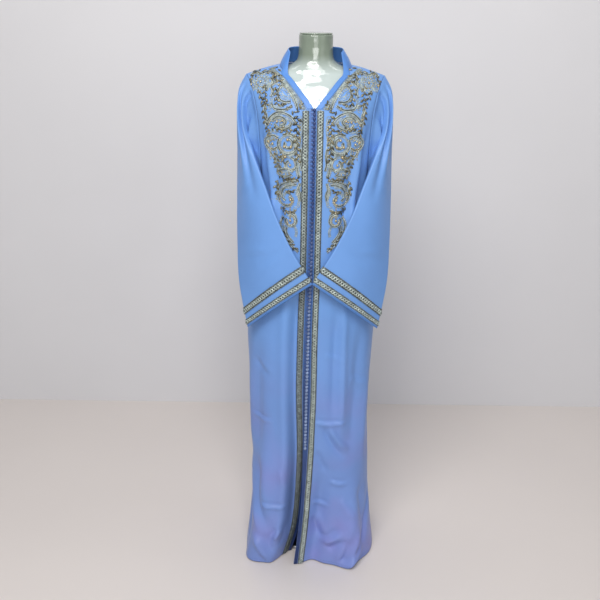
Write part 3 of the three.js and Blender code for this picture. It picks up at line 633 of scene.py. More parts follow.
def crepe_group():
    """Node group of a fine crepe: a pebbled height, a slow change of tone up the cloth, and mauve patches of
    painted sheen low down.
    """
    group, given, put_out = new_group(
        "crepe", ("Color", "Low Color", "Painted Sheen Color"), ("Grain", "Reach"))
    place = add_node(group, "ShaderNodeTexCoord").outputs["Object"]
    height = add_node(group, "ShaderNodeSeparateXYZ", {"Vector": place}).outputs["Z"]
    low = remap(group, height, 0.0, given["Reach"], 1.0, 0.0)
    color = blend_colors(group, low, given["Color"], given["Low Color"])
    # Mauve patches low on the cloth, made from the second colour: painted sheen of shot satin.
    clouds = remap(group, noise(group, place, 6, 2), 0.45, 0.68, 0, 0.7)
    painted_sheen = worked_out(group, "MULTIPLY", clouds, low)
    color = blend_colors(group, painted_sheen, color, given["Painted Sheen Color"])
    slow = remap(group, noise(group, place, 5, 3), 0.3, 0.7, 0.94, 1.05)
    color = blend_colors(group, 1.0, color, slow, "MULTIPLY")
    fleck = noise(group, place, given["Grain"], 2, 0.7)
    color = blend_colors(group, 1.0, color, remap(group, fleck, 0.3, 0.7, 0.97, 1.03), "MULTIPLY")
    group.links.new(color, put_out["Color"])
    drawn = add_node(group, "ShaderNodeMapping", {"Vector": place, "Scale": (60, 60, 9)}).outputs[0]
    total = worked_out(group, "ADD", fleck, noise(group, drawn, 1.0))
    group.links.new(total, put_out["Height"])
    return group


crepe = crepe_group()
# Tint of the mauve patches of painted sheen on every satin.
PAINTED_SHEEN_TINT = (1.35, 0.86, 0.92, 1)


def satin(name, color, low_color, roughness, sheen, grain=1400.0, relief=0.25, reach=0.85):
    """Satin crepe in a colour, with another colour from a height down to the hem, and mauve patches of
    painted sheen low down.
    """
    material, tree, shader = new_material(
        name, roughness, Sheen_Weight=sheen, Sheen_Roughness=0.35, Specular_IOR_Level=0.4)
    shader.inputs["Sheen Tint"].default_value = (0.75, 0.85, 1, 1)
    cloth = add_node(tree, "ShaderNodeGroup", node_tree=crepe)
    cloth.inputs["Color"].default_value = color
    cloth.inputs["Low Color"].default_value = low_color
    cloth.inputs["Painted Sheen Color"].default_value = tuple(np.multiply(low_color, PAINTED_SHEEN_TINT))
    cloth.inputs["Grain"].default_value = grain
    cloth.inputs["Reach"].default_value = reach
    tree.links.new(cloth.outputs["Color"], shader.inputs["Base Color"])
    bump(tree, cloth.outputs["Height"], relief, 0.0006, shader)
    return material


blue_satin = satin("blue satin crepe", (0.15, 0.315, 0.67, 1), (0.185, 0.275, 0.62, 1), 0.42, 0.05)
CLOTH_HALF, SEAM_GAP = 0.65, 0.18


def rows_at(z, first, last):
    """Row numbers at which the inner end of the sections reaches the heights z."""
    part = SECTIONS[first:last + 1, 0]
    return np.interp(z, part, np.arange(first, last + 1))


def front_rows():
    """Row numbers of a front: every 5 mm in the skirt, 9 mm above it, then to the shoulder."""
    heights = np.concatenate([np.arange(3, 560, 5.2), np.arange(560, 1195, 9)])
    skirt = rows_at(heights, HEM, ARMPIT)
    return np.concatenate([skirt, np.linspace(ARMPIT, SHOULDER - SHOULDER_GAP, 58)])


FRONT_COLUMNS, BACK_COLUMNS = 92, 62
for hand, side in (("right", 1), ("left", -1)):
    v = front_rows()[:, None]
    share = np.linspace(0, 1, FRONT_COLUMNS + 1)[None, :]
    points = cloth_at(side, v, section_length(side, v[:, 0])[:, None] * share)
    points[:, -1, 1] -= SEAM_GAP
    put_down(
        f"front_{hand}_satin", [wall_of(sheet_of(points, flip=side < 0), -CLOTH_HALF, CLOTH_HALF)],
        blue_satin)
    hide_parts(f"front_{hand}")

down = np.concatenate([
    np.linspace(SHOULDER + SHOULDER_GAP, ARMPIT_BACK, 50),
    np.linspace(ARMPIT_BACK, HEM_BACK, 130)[1:]])[:, None]
share = np.linspace(0, 1, BACK_COLUMNS + 1)[None, :]
halves = []
for side in (1, -1):
    points = cloth_at(side, down, section_length(side, down[:, 0])[:, None] * share)
    points[:, -1, 1] += SEAM_GAP
    points[down[:, 0] >= NECK_BACK, 0, 0] = 0
    halves.append(sheet_of(points, flip=side < 0))
count = len(halves[0][0])
ids = count + np.arange(count)
shared = np.arange(len(down))[down[:, 0] >= NECK_BACK] * (BACK_COLUMNS + 1)
ids[shared] = shared
ids[np.setdiff1d(np.arange(count), shared)] = count + np.arange(count - len(shared))
back_sheet = (
    np.concatenate([halves[0][0], np.delete(halves[1][0], shared, 0)]),
    np.concatenate([halves[0][1], ids[halves[1][1]]]),
    np.concatenate([halves[0][2], halves[1][2]]))
back = put_down("back_satin", [wall_of(back_sheet, -CLOTH_HALF, CLOTH_HALF)], blue_satin)
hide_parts("back")

# ---------------------------------------------------------------- sleeves
# Each sleeve is one straight tube of the same satin, sewn into the armhole. Empty, it is folded
# flat across the front, so that both cuffs meet at the buttons.
SLEEVE = np.array([
    # at, xE, yE, zE (over-arm edge), xB, yB, zB (inner edge), bow, deep, open
    [0, 191, 0, 1504, 173, -46, 1468, 0, 0, 1],
    [0.12, 213, -2, 1460, 198, -48, 1432, 4, 4, 0.82],
    [0.26, 219, -8, 1385, 199, -64, 1368, 8, 16, 0.58],
    [0.4, 219, -18, 1280, 176, -92, 1300, 14, 26, 0.34],
    [0.55, 220, -36, 1160, 143, -124, 1218, 17, 30, 0.14],
    [0.7, 219, -62, 1043, 106, -152, 1128, 18, 28, 0.03],
    [0.85, 213, -95, 925, 62, -174, 1042, 18, 23, 0],
    [1, 188, -130, 797, 3, -186, 948, 18, 17, 0],
])
SLEEVE_FOLDS = [
    # around, atTop, atLow, depth, width
    [7.3, 0.01, 0.66, -20, 2.1],
    [6.2, -0.04, 0.5, -14, 3.2],
    [9.6, -0.08, 0.4, -13, 0.7],
    [3.4, -0.04, 0.4, -9, 0.8],
    [5.4, -0.02, 0.4, 5, 0.6],
    [4, 0.03, 0.45, 7, 1.6],
    [20.5, 0.08, 0.75, -7, 1.8],
    [24, 0.08, 0.75, 6, 1.8],
    [28, 0.05, 0.6, -7, 1.8],
    [11.9, 0.03, 0.6, -13, 0.75],
    [13.2, 0.05, 0.5, 6, 0.6],
    [14.4, 0.03, 0.46, -8, 0.6],
]
SLEEVE_CREASES = np.array([
    # x0, z0, x1, z1, depth, width, on the right; the left one has the mirror image
    [206, 1010, 130, 1040, 1.6, 9],
    [150, 990, 92, 1040, -1.4, 9],
    [208, 900, 176, 940, 1.6, 8],
    [212, 1180, 176, 1230, 1.4, 9],
    [120, 930, 84, 985, 1.2, 8],
], float)
AROUND, INNER, OUTER, ARMHOLE_STEP, MEET_X, FOLD_BLUNT = 32, 10, 16, 1.15, -1.9, 0.32
CUFF_SPAN, CUFF_EDGE, CUFF_BRAIDS, BRAID_WIDTH = 0.1, 6, (13, 46), 16


def flat_ring(side, k, value):
    """Flattened section of the sleeve at point numbers k: the front layer from the inner edge to
    the over-arm edge and the back layer round again, arched, with half-round folds between."""
    at, deep, bow = value[:, 0], value[:, 8], value[:, 7]
    shift = MEET_X * ease((at - 0.6) / 0.4)
    outer = np.stack([side * value[:, 1], value[:, 2], value[:, 3]], 1)
    inner = np.stack([side * value[:, 4] + shift, value[:, 5], value[:, 6]], 1)
    turn = np.mod(k - INNER, AROUND)
    front = OUTER - INNER
    t = np.where(turn <= front, turn / front, 1 - (turn - front - 1) / (AROUND - front - 2))
    t = np.clip(t, 0, 1)
    arch = np.sin(np.pi * t)
    behind = FOLD_BLUNT + (1 - FOLD_BLUNT) * np.abs(arch) ** 0.6
    round_out = (turn > front) & (turn < front + 1)
    round_in = turn > AROUND - 1
    half = np.where(round_out, turn - front, turn - (AROUND - 1)) * np.pi
    behind = np.where(round_out, FOLD_BLUNT * (1 - np.cos(half)) / 2, behind)
    behind = np.where(round_in, FOLD_BLUNT * (1 + np.cos(half)) / 2, behind)
    behind = np.where(turn <= front, 0, behind)
    swell = np.where(round_out, 1, np.where(round_in, -1, 0)) * np.sin(half) * deep * FOLD_BLUNT / 2
    facing = unit(np.array([0.3 * side, -0.93, 0.2]))
    wide = outer - inner
    place = inner + wide * t[:, None] + facing * (bow * arch - deep * behind)[:, None]
    return place + unit(wide) * swell[:, None]


def sleeve_at(side, at, k):
    """Points of the sleeve: the flattened section plus what is left of the armhole's own shape,
    moved out by soft folds round the arm and by short creases on the front layer."""
    shape = np.broadcast(at, k).shape
    at, k = (np.broadcast_to(a, shape).astype(float).ravel() for a in (at, k))
    value = between(SLEEVE, np.interp(at, SLEEVE[:, 0], np.arange(len(SLEEVE))))
    value[:, 0] = at
    place = flat_ring(side, k, value)
    v = ARMPIT + np.mod(k, AROUND) * (ARMPIT_BACK - ARMPIT) / AROUND
    hole = between(SECTIONS, v, BREAKS)
    rim = np.stack([side * (hole[:, 6] + ARMHOLE_STEP), hole[:, 7], hole[:, 5]], 1)
    start = flat_ring(side, k, np.broadcast_to(SLEEVE[0], value.shape))
    place = place + (rim - start) * value[:, 9:10]
    out = unit(np.stack([np.full(len(k), side * 0.35), np.where(k > OUTER, 0.9, -0.9), 0 * k], 1))
    for around, top, low, depth, width in SLEEVE_FOLDS:
        off = (k - around) / width
        t = np.clip((at - top) / (low - top), 0, 1)
        fade = ease(at / 0.06) * np.sin(np.pi * t) ** 0.8
        place = place + out * (depth * fade * np.exp(-off * off))[:, None]
    in_front = np.mod(k - INNER, AROUND) < OUTER - INNER
    on_layer = ease(in_front * np.sin(np.pi * np.clip((k - INNER) / (OUTER - INNER), 0, 1)))
    pressed = crease_depth(SLEEVE_CREASES, side * place[:, 0], place[:, 2]) * on_layer
    place = place + out * pressed[:, None]
    return place.reshape(shape + (3,))


def cuff_at(side, distance, k):
    """Points of the sleeve at a distance from the cuff line, measured along the sleeve."""
    k = np.broadcast_to(k, np.broadcast(distance, k).shape)
    run = np.linalg.norm(sleeve_at(side, 1, k) - sleeve_at(side, 1 - CUFF_SPAN, k), axis=-1)
    return sleeve_at(side, 1 - CUFF_SPAN * distance / run, k)


ring_turns = np.concatenate([
    np.linspace(10, 16, 40), np.linspace(16, 17, 6)[1:-1], np.linspace(17, 41, 74),
    np.linspace(41, 42, 6)[1:-1]])
RING = np.mod(ring_turns, AROUND)[None, :]
SLEEVE_LOW = 62
for hand, side in (("right", 1), ("left", -1)):
    run = np.linalg.norm(sleeve_at(side, 1, RING) - sleeve_at(side, 1 - CUFF_SPAN, RING), axis=-1)
    upper = np.linspace(0, 1, 84)[:, None] * (1 - CUFF_SPAN * SLEEVE_LOW / run)
    lower = 1 - CUFF_SPAN * np.linspace(SLEEVE_LOW, CUFF_EDGE, 14)[1:, None] / run
    at = np.concatenate([upper, lower])
    points = sleeve_at(side, at, np.broadcast_to(RING, at.shape))
    put_down(
        f"sleeve_{hand}_satin",
        [wall_of(sheet_of(points, True, side > 0), -CLOTH_HALF, CLOTH_HALF)], blue_satin)
    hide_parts(f"sleeve_{hand}")

# ---------------------------------------------------------------- collar and front bands
# A stand collar whose band runs on flat down both sides of the V, and a plain band along each
# front edge that carries the buttons. Both are cut from satin of a deeper blue. The edge bands
# darken to near black towards the hem: painted shade in the gap between the two fronts.
COLLAR_BAND, COLLAR_HEIGHT, COLLAR_LEAN, COLLAR_ROLL = 17, 44, 24, 1.2
COLLAR_TURN, COLLAR_STANDS, COLLAR_LIFT = 16.35, 17.25, 2.1
BAND_HALF = 0.6
band_satin = satin(
    "deep blue band satin", (0.085, 0.235, 0.60, 1), (0.05, 0.13, 0.46, 1), 0.42, 0.2, 1700)
# The edge bands' near-black second colour, reaching up to 1.2 m, is painted shade between the two fronts.
placket_satin_painted_shade = satin(
    "edge band satin with painted shade", (0.07, 0.165, 0.45, 1), (0.012, 0.03, 0.12, 1), 0.42, 0.05, 1700, 0.25, 1.2)


def collar_half(side, v, across):
    """Half of the collar: the flat band lying on the front beside the V, turned gradually into
    an upright band that leans towards the neck as it goes up."""
    v, across = np.broadcast_arrays(np.asarray(v, float), across)
    base = cloth_at(side, v, 0 * v)
    flat = cloth_at(side, v, COLLAR_BAND * (1 - across))
    aside = cloth_at(side, v, 0 * v + COLLAR_BAND + 10) - base
    upwards = cloth_at(side, np.minimum(v + 0.2, NECK_BACK), 0 * v) - cloth_at(side, v - 0.2, 0 * v)
    flat = flat + unit(np.cross(aside, upwards) * side) * COLLAR_LIFT
    inward = unit(np.stack([-base[..., 0], 10 - base[..., 1], 0 * v], -1))
    stand = base + inward * (COLLAR_LEAN * across ** 1.3)[..., None]
    stand[..., 2] += 1.4 + COLLAR_HEIGHT * across
    turn = ease((v - COLLAR_TURN) / (COLLAR_STANDS - COLLAR_TURN))[..., None]
    place = flat + (stand - flat) * turn
    place[..., 2] += COLLAR_ROLL * 4 * (turn * (1 - turn))[..., 0]
    return place


stations = np.concatenate([np.linspace(VEE + 0.12, 16, 40), np.linspace(16, 17.5, 40)[1:],
                           np.linspace(17.5, NECK_BACK - 0.002, 46)[1:]])[:, None]
across = np.linspace(0, 1, 15)[None, :]
right_half = collar_half(1, stations, across)
left_half = collar_half(-1, stations[:-1], across)[::-1]
right_half[-1, :, 0] = 0
points = np.concatenate([right_half, left_half])
collar = put_down(
    "collar_satin", [wall_of(sheet_of(points), -BAND_HALF, BAND_HALF)], band_satin)
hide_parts("collar")

BANDS = np.array([
    # z, width on the right, width on the left
    [3, 13, 13],
    [245, 10, 13],
    [409, 15, 13],
    [582, 13, 13],
    [742, 10, 13],
    [1043, 8, 14],
    [1424, 7, 14],
])


def band_width(side, v):
    """Width of the plain band at row numbers v."""
    return np.interp(between(SECTIONS, v, BREAKS)[..., 0], BANDS[:, 0], BANDS[:, 1 if side > 0 else 2])


LAY, BRAID_OVERLAP = CLOTH_HALF + 0.35, 2.0
for hand, side in (("right", 1), ("left", -1)):
    v = front_rows()
    v = v[v <= VEE + 0.01][:, None]
    share = np.linspace(0.02, 1, 9)[None, :]
    points = cloth_at(side, v, (band_width(side, v) - BRAID_OVERLAP - 0.4) * share)
    put_down(
        f"placket_{hand}_satin", [wall_of(sheet_of(points, flip=side < 0), LAY, LAY + 1.2)],
        placket_satin_painted_shade)
    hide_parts(f"placket_{hand}")

# ---------------------------------------------------------------- braids
# Woven trims of metal thread lie along both front edges and twice round each cuff. Each is a
# ribbon with two waved cords that cross over and under each other, and a scalloped dark edge.


def on_front(side, v, s, lift=0.0):
    """Points lifted off a front, or the back, at row numbers v and distances s, and the cloth's
    normals there, from the cross product of its slopes across and up."""
    v = np.where(np.asarray(v) < SHOULDER, np.clip(v, 0.03, SHOULDER - 0.07), v)
    s = np.maximum(s, 1.0)
    place = cloth_at(side, v, s)
    aside = cloth_at(side, v, s + 0.8) - cloth_at(side, v, s - 0.8)
    upwards = cloth_at(side, v + 0.02, s) - cloth_at(side, v - 0.02, s)
    normals = unit(np.cross(aside, upwards) * side)
    return place + normals * np.asarray(lift)[..., None], normals


def run_along(line):
    """Length of a line up to each of its points."""
    return np.concatenate([[0], np.cumsum(np.linalg.norm(np.diff(line, axis=0), axis=1))])


def on_cuff(side, distance, along, lift=0.0):
    """Points lifted off the sleeve at a distance from the cuff line, a share of the way round."""
    turns = np.linspace(0, AROUND, 257)
    ring = cuff_at(side, 30.0, turns)
    lengths = run_along(ring)
    k = np.interp(np.mod(along, 1) * lengths[-1], lengths, turns)
    distance, k = np.broadcast_arrays(distance, k)
    place = cuff_at(side, distance, k)
    after, before = (cuff_at(side, distance, np.mod(k + step, AROUND)) for step in (0.06, -0.06))
    around = after - before
    upwards = cuff_at(side, distance + 1.0, k) - cuff_at(side, distance - 1.0, k)
    normals = unit(np.cross(around, upwards) * side)
    return place + normals * np.asarray(lift)[..., None], normals


def tube(path, normals, radius, closed=False, tone=0.0):
    """Round cord along a path: six points about it in each plane square to the path. The uv
    runs once round it, and in millimetres along it."""
    ahead = np.roll(path, -1, 0) - np.roll(path, 1, 0) if closed else np.gradient(path, axis=0)
    ahead = unit(ahead)
    aside = unit(np.cross(ahead, normals))
    above = np.cross(aside, ahead)
    angle = np.arange(6)[None, :, None] * math.pi / 3
    radius = np.broadcast_to(radius, len(path))[:, None, None]
    points = path[:, None] + radius * (np.cos(angle) * aside[:, None] + np.sin(angle) * above[:, None])
    rows = len(path)
    i, j = np.meshgrid(np.arange(rows if closed else rows - 1), np.arange(6), indexing="ij")
    k, m = (i + 1) % rows, (j + 1) % 6
    faces = np.stack([i * 6 + j, k * 6 + j, k * 6 + m, i * 6 + m], -1).reshape(-1, 4)
    steps = np.linalg.norm(np.diff(path, axis=0), axis=1)
    run = np.concatenate([[0], np.cumsum(steps), [np.sum(steps) + steps[-1]]])
    corners = np.stack([
        np.stack([j / 6, run[i]], -1), np.stack([j / 6, run[i + 1]], -1),
        np.stack([(j + 1) / 6, run[i + 1]], -1), np.stack([(j + 1) / 6, run[i]], -1)], 2)
    if not closed:
        last = (rows - 1) * 6
        caps = np.array([
            [0, 1, 2, 3], [0, 3, 4, 5],
            [last, last + 5, last + 4, last + 3], [last, last + 3, last + 2, last + 1]])
        faces = np.concatenate([faces, caps])
        corners = np.concatenate([corners.reshape(-1, 4, 2), np.zeros((4, 4, 2))])
    return points, faces, corners, tone


def round_unit(widths, heights, sides=6):
    """Unit shape of a bead: rings of points about its long axis, capped at both ends."""
    angle = np.arange(sides)[None, :] * 2 * math.pi / sides
    wide, high = np.array(widths)[:, None], np.array(heights)[:, None]
    points = np.stack([high + 0 * angle, wide * np.cos(angle), wide * np.sin(angle)], -1)
    fan = np.array([[0, k, k + 1, k + 2] for k in range(1, sides - 2, 2)])
    caps = np.concatenate([fan[:, ::-1], fan + (len(widths) - 1) * sides])
    faces = np.concatenate([grid_faces(len(widths), sides, True), caps])
    corners = np.concatenate([grid_uv(len(widths), sides, True, 1, 4), np.zeros((len(caps), 4, 2))])
    return points.reshape(-1, 3), faces, corners


BALL = round_unit([0.38, 0.92, 0.92, 0.38], [-0.93, -0.38, 0.38, 0.93])
LEAF = round_unit([0.1, 0.75, 1, 0.72, 0.12], [-1, -0.45, 0.05, 0.55, 1])


def copies(bead, places, ahead, normals, sizes, tones=0.0):
    """Copies of a bead's unit shape at places, with its long axis ahead and its third axis along the
    normals. Sizes are half lengths, half widths and half heights."""
    shape, faces, corners = bead
    count = len(places)
    sizes = np.broadcast_to(np.asarray(sizes, float), (count, 3))
    ahead = unit(ahead - normals * np.sum(ahead * normals, 1, keepdims=True))
    frames = np.stack([ahead, np.cross(normals, ahead), normals], -1)
    points = places[:, None] + np.einsum("nij,npj->npi", frames, shape[None] * sizes[:, None])
    faces = faces[None] + (np.arange(count) * len(shape))[:, None, None]
    return (points.reshape(-1, 3), faces.reshape(-1, 4), np.tile(corners, (count, 1, 1)),
            np.repeat(np.broadcast_to(tones, count), len(shape)))


def thread_group():
    """Node group of twisted thread: a lay of strands from the uv, painted shade between the strands, patches
    of painted glints, and a second colour where the tone of a piece is high.
    """
    group, given, put_out = new_group("twisted thread", ("Color", "Tone Color"), ("Twist",))
    unrolled = add_node(group, "ShaderNodeUVMap").outputs["UV"]
    spot = add_node(group, "ShaderNodeSeparateXYZ", {"Vector": unrolled}).outputs
    lay = worked_out(group, "MULTIPLY", spot["Y"], given["Twist"])
    lay = worked_out(group, "MULTIPLY_ADD", spot["X"], 2.0, lay)
    lay = worked_out(group, "MULTIPLY", lay, 2 * math.pi)
    strand = remap(group, worked_out(group, "SINE", lay), -1, 1)
    tone = add_node(group, "ShaderNodeAttribute", attribute_name="tone").outputs["Fac"]
    color = blend_colors(group, tone, given["Color"], given["Tone Color"])
    place = add_node(group, "ShaderNodeTexCoord").outputs["Object"]
    # Patches lighter and darker along the thread: painted glints.
    painted_glint_patches = remap(group, noise(group, place, 110, 3), 0.32, 0.68, 0.55, 1.25)
    color = blend_colors(group, 1.0, color, painted_glint_patches, "MULTIPLY")
    # Darker between the strands and a little lighter on their crowns: painted shade and painted highlight.
    color = blend_colors(group, 1.0, color, remap(group, strand, 0, 1, 0.6, 1.08), "MULTIPLY")
    group.links.new(color, put_out["Color"])
    group.links.new(strand, put_out["Height"])
    return group


twisted = thread_group()


def thread(name, color, dark, roughness, metallic, twist=0.3, relief=0.5):
    """Twisted thread in a colour, and in another where the tone of a piece is high."""
    material, tree, shader = new_material(name, roughness, metallic)
    lay = add_node(tree, "ShaderNodeGroup", node_tree=twisted)
    lay.inputs["Color"].default_value = color
    lay.inputs["Tone Color"].default_value = dark
    lay.inputs["Twist"].default_value = twist
    tree.links.new(lay.outputs["Color"], shader.inputs["Base Color"])
    bump(tree, lay.outputs["Height"], relief, 0.0003, shader)
    return material


silver_thread = thread("silver thread", (0.56, 0.64, 0.60, 1), (0.055, 0.07, 0.085, 1), 0.42, 0.4)
CORD_SWING, CORD_PERIOD, CORD_RADIUS, CORD_OVER = 5.1, 17.0, 1.8, 0.8
EDGE_AT, EDGE_SWING, EDGE_RADIUS = 7.4, 1.3, 0.8
RIBBON_HALF = BRAID_WIDTH / 2 + BRAID_OVERLAP - 1.3
RIBBON_LOW, RIBBON_HIGH = CLOTH_HALF + 0.35, CLOTH_HALF + 1.35


def braid_parts(spot, length, closed, edge_tone=0.7, painted_cord_shade=(0.0, 0.0)):
    """Parts of one braid: spot(along, across, lift) gives points on the ground and its normals.
    The two cords swing as opposite sines and rise as opposite cosines; each edge cord swings
    at twice their pace."""
    period = length / round(length / CORD_PERIOD)
    along = np.linspace(0, length, int(length / 2.1), endpoint=not closed)
    turn = 2 * math.pi * along / period
    # Cords darker at one end than the other: painted shade on a braid that turns away from the light.
    tones = np.repeat(np.interp(along, (0, length), painted_cord_shade), 6)
    parts = []
    for sign in (1, -1):
        lift = RIBBON_HIGH + 0.75 + sign * CORD_OVER * np.cos(turn)
        path, normals = spot(along, sign * CORD_SWING * np.sin(turn), lift)
        parts.append(tube(path, normals, CORD_RADIUS, closed, tones))
        edge = EDGE_AT + EDGE_SWING * np.abs(np.sin(turn))
        path, normals = spot(along, sign * edge, RIBBON_HIGH + 0.45 + 0 * along)
        parts.append(tube(path, normals, EDGE_RADIUS, closed, edge_tone))
    eyes = (np.arange(round(length / period * 2)) + 0.5) * period / 2
    places, normals = spot(eyes, 0 * eyes, RIBBON_HIGH + 0.6 + 0 * eyes)
    ahead = spot(eyes + 1, 0 * eyes, RIBBON_HIGH + 0.6 + 0 * eyes)[0] - places
    parts.append(copies(BALL, places, ahead, normals, (1.5, 1.2, 0.9), 0.95))
    return parts


def ribbon(points, closed=False, flip=False):
    """The ground of a braid: a thin wall crowned across its width."""
    sheet = sheet_of(points, closed, flip)
    if closed:
        share = np.linspace(0, 1, points.shape[0])[:, None]
    else:
        share = np.linspace(0, 1, points.shape[1])[None, :]
    crown = np.broadcast_to(0.5 * (4 * share * (1 - share)) - 0.3, points.shape[:2]).ravel()
    points, faces, corners, _ = wall_of(sheet, RIBBON_LOW, RIBBON_HIGH + crown)
    return points, faces, corners, 0.8


for hand, side in (("right", 1), ("left", -1)):
    v = front_rows()
    for level, first, last in (("front", 0, ARMPIT + 0.01), ("breast", ARMPIT - 0.01, VEE - 0.06)):
        rows = v[(v >= first) & (v <= last)]
        across = RIBBON_HALF * np.linspace(-1, 1, 7)[None, :]
        middle = band_width(side, rows) + BRAID_WIDTH / 2
        points = cloth_at(side, rows[:, None], middle[:, None] + across)
        run = run_along(points[:, 3])

        def spot(along, across, lift, side=side, run=run, rows=rows):
            row = np.interp(along, run, rows)
            return on_front(side, row, band_width(side, row) + BRAID_WIDTH / 2 + across, lift)

        parts = [ribbon(points, flip=side < 0)]
        # The left front's braids are darker, most at the hem: painted shade.
        tones = (0.0, 0.0) if side > 0 else (0.7, 0.25) if first == 0 else (0.25, 0.1)
        parts += braid_parts(spot, run[-1], False, 0.7, tones)
        put_down(
            f"{level}_braid_{hand}_cords", parts, silver_thread)
    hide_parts(f"front_braid_{hand}")

    for level, start in zip(("lower", "upper"), CUFF_BRAIDS):
        across = RIBBON_HALF * np.linspace(1, -1, 7)[:, None]
        rings = np.broadcast_to(RING, (len(across), RING.shape[1]))
        points = cuff_at(side, start + BRAID_WIDTH / 2 + across, rings)
        ring = cuff_at(side, start + BRAID_WIDTH / 2, RING[0])
        length = np.linalg.norm(ring - np.roll(ring, 1, 0), axis=1).sum()

        def spot(along, across, lift, side=side, start=start, length=length):
            return on_cuff(side, start + BRAID_WIDTH / 2 + across, along / length, lift)

        parts = [ribbon(points, True, side > 0)] + braid_parts(spot, length, True, 0.6)
        piece = put_down(f"cuff_braid_{hand}_{level}_cords", parts, silver_thread)
        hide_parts(f"cuff_braid_{hand}_{level}")

# ---------------------------------------------------------------- cuff edges
# Each sleeve ends in a piping of the deep blue satin, turned over the cloth's raw edge.
PIPING = (0.8, 5.4)
for hand, side in (("right", 1), ("left", -1)):
    share = np.linspace(0, 1, 7)[:, None]
    rings = np.broadcast_to(RING, (len(share), RING.shape[1]))
    points = cuff_at(side, PIPING[1] + (PIPING[0] - PIPING[1]) * share, rings)
    plump = np.broadcast_to(4 * share * (1 - share), points.shape[:2]).ravel()
    piping = put_down(
        f"cuff_edge_{hand}_piping",
        [wall_of(sheet_of(points, True, side > 0), -0.5 - 0.5 * plump, 0.5 + 0.7 * plump)],
        band_satin)
    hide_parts(f"cuff_edge_{hand}")

# ---------------------------------------------------------------- buttons
# A close row of round knotted buttons of blue cord, strung on one cord, each with its loop of
# the same cord sewn to the left front edge. The knots turn paler towards the hem: painted highlights.
BUTTON_TOP, BUTTON_PITCH, BUTTON_COUNT, BUTTON_OUT = 1424, 11.3, 90, 7.7
BUTTON_SIZE = (4.7, 4.1, 4.1)
LATITUDES = np.radians(np.linspace(-78, 78, 9))
KNOT = round_unit(np.cos(LATITUDES), np.sin(LATITUDES), 12)
# The button cord's second colour is pale blue: the painted highlights of the knots.
button_thread = thread("button cord with painted highlights", (0.022, 0.05, 0.20, 1), (0.50, 0.64, 0.92, 1), 0.34, 0.0, 0.5, 0.6)


def front_edge(side, z):
    """Points of a front's edge at heights z."""
    return cloth_at(side, rows_at(z, HEM, SHOULDER - 1), 0 * z)


z = BUTTON_TOP - BUTTON_PITCH * np.arange(BUTTON_COUNT)
right_edge, left_edge = front_edge(1, z), front_edge(-1, z)
centres = np.stack([(right_edge[:, 0] + left_edge[:, 0]) / 2, right_edge[:, 1] - BUTTON_OUT, z], 1)
upright, facing = np.array([[0.34, 0, 0.94]]), np.array([[0.0, -1, 0]])
# Knots paler towards the hem by their tone: painted highlights.
painted_highlight_down = np.clip(np.linspace(-0.35, 1.0, BUTTON_COUNT), 0.02, 0.6)
parts = [copies(
    KNOT, centres, np.repeat(upright, BUTTON_COUNT, 0), np.repeat(facing, BUTTON_COUNT, 0),
    BUTTON_SIZE, painted_highlight_down)]
string = np.concatenate([centres[:1] + (0, 0, 5.6), centres, centres[-1:] - (0, 0, 5.6)])
parts.append(tube(string, np.repeat(facing, len(string), 0), 1.25, tone=0.0))
swing = np.linspace(-1, 1, 13)
for centre, row in zip(centres, rows_at(z, HEM, SHOULDER - 1)):
    legs, normals = on_front(-1, row + 0 * swing, 3 + 5 * np.abs(swing), 3.2 + 0 * swing)
    tip = np.stack([
        centre[0] - 3.4 + 4.4 * np.cos(swing * math.pi / 2) ** 0.5, centre[1] + 4.3 + 0 * swing,
        centre[2] + 0 * swing], 1)
    path = legs + (tip - legs) * ease((0.75 - np.abs(swing)) / 0.6)[:, None]
    path[:, 2] = centre[2] + 2.6 * np.sign(swing) * np.abs(swing) ** 0.6
    parts.append(tube(path, normals, 0.95, tone=0.12))
buttons = put_down("button_row_knots", parts, button_thread)
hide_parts("button_row")

# ---------------------------------------------------------------- embroidery
# Hand embroidery covers both fronts from the shoulders to the waist: scrolls of doubled metal
# cord, loops of the same cord as filling, dark leaf beads, and seed beads and pearls. The two
# sides mirror each other. Places are (distance from the middle, height).
EMBROIDERY_MIDDLE = -2.0


def front_spot(side, x, z):
    """Rows and distances at which a front is seen at x, z from in front: Newton's method."""
    v = rows_at(np.clip(z, 5, 1520), HEM, SHOULDER)
    s = np.maximum(np.abs(x) - 8, 2.0)
    for _ in range(9):
        place = cloth_at(side, v, s)
        across = (cloth_at(side, v, s + 0.5) - place) / 0.5
        up = (cloth_at(side, v + 0.01, s) - place) / 0.01
        miss_x, miss_z = x - place[:, 0], z - place[:, 2]
        area = across[:, 0] * up[:, 2] - up[:, 0] * across[:, 2]
        s = s + np.clip((miss_x * up[:, 2] - miss_z * up[:, 0]) / area, -25, 25)
        v = v + np.clip((miss_z * across[:, 0] - miss_x * across[:, 2]) / area, -1, 1)
        v = np.clip(v, 0.05, SHOULDER - 0.1)
        s = np.clip(s, 1.5, section_length(side, v) - 5)
    return v, s


def on_breast(side, places, lift):
    """Points and normals of a front at drawn places."""
    x = EMBROIDERY_MIDDLE + side * places[:, 0]
    return on_front(side, *front_spot(side, x, places[:, 1]), lift)


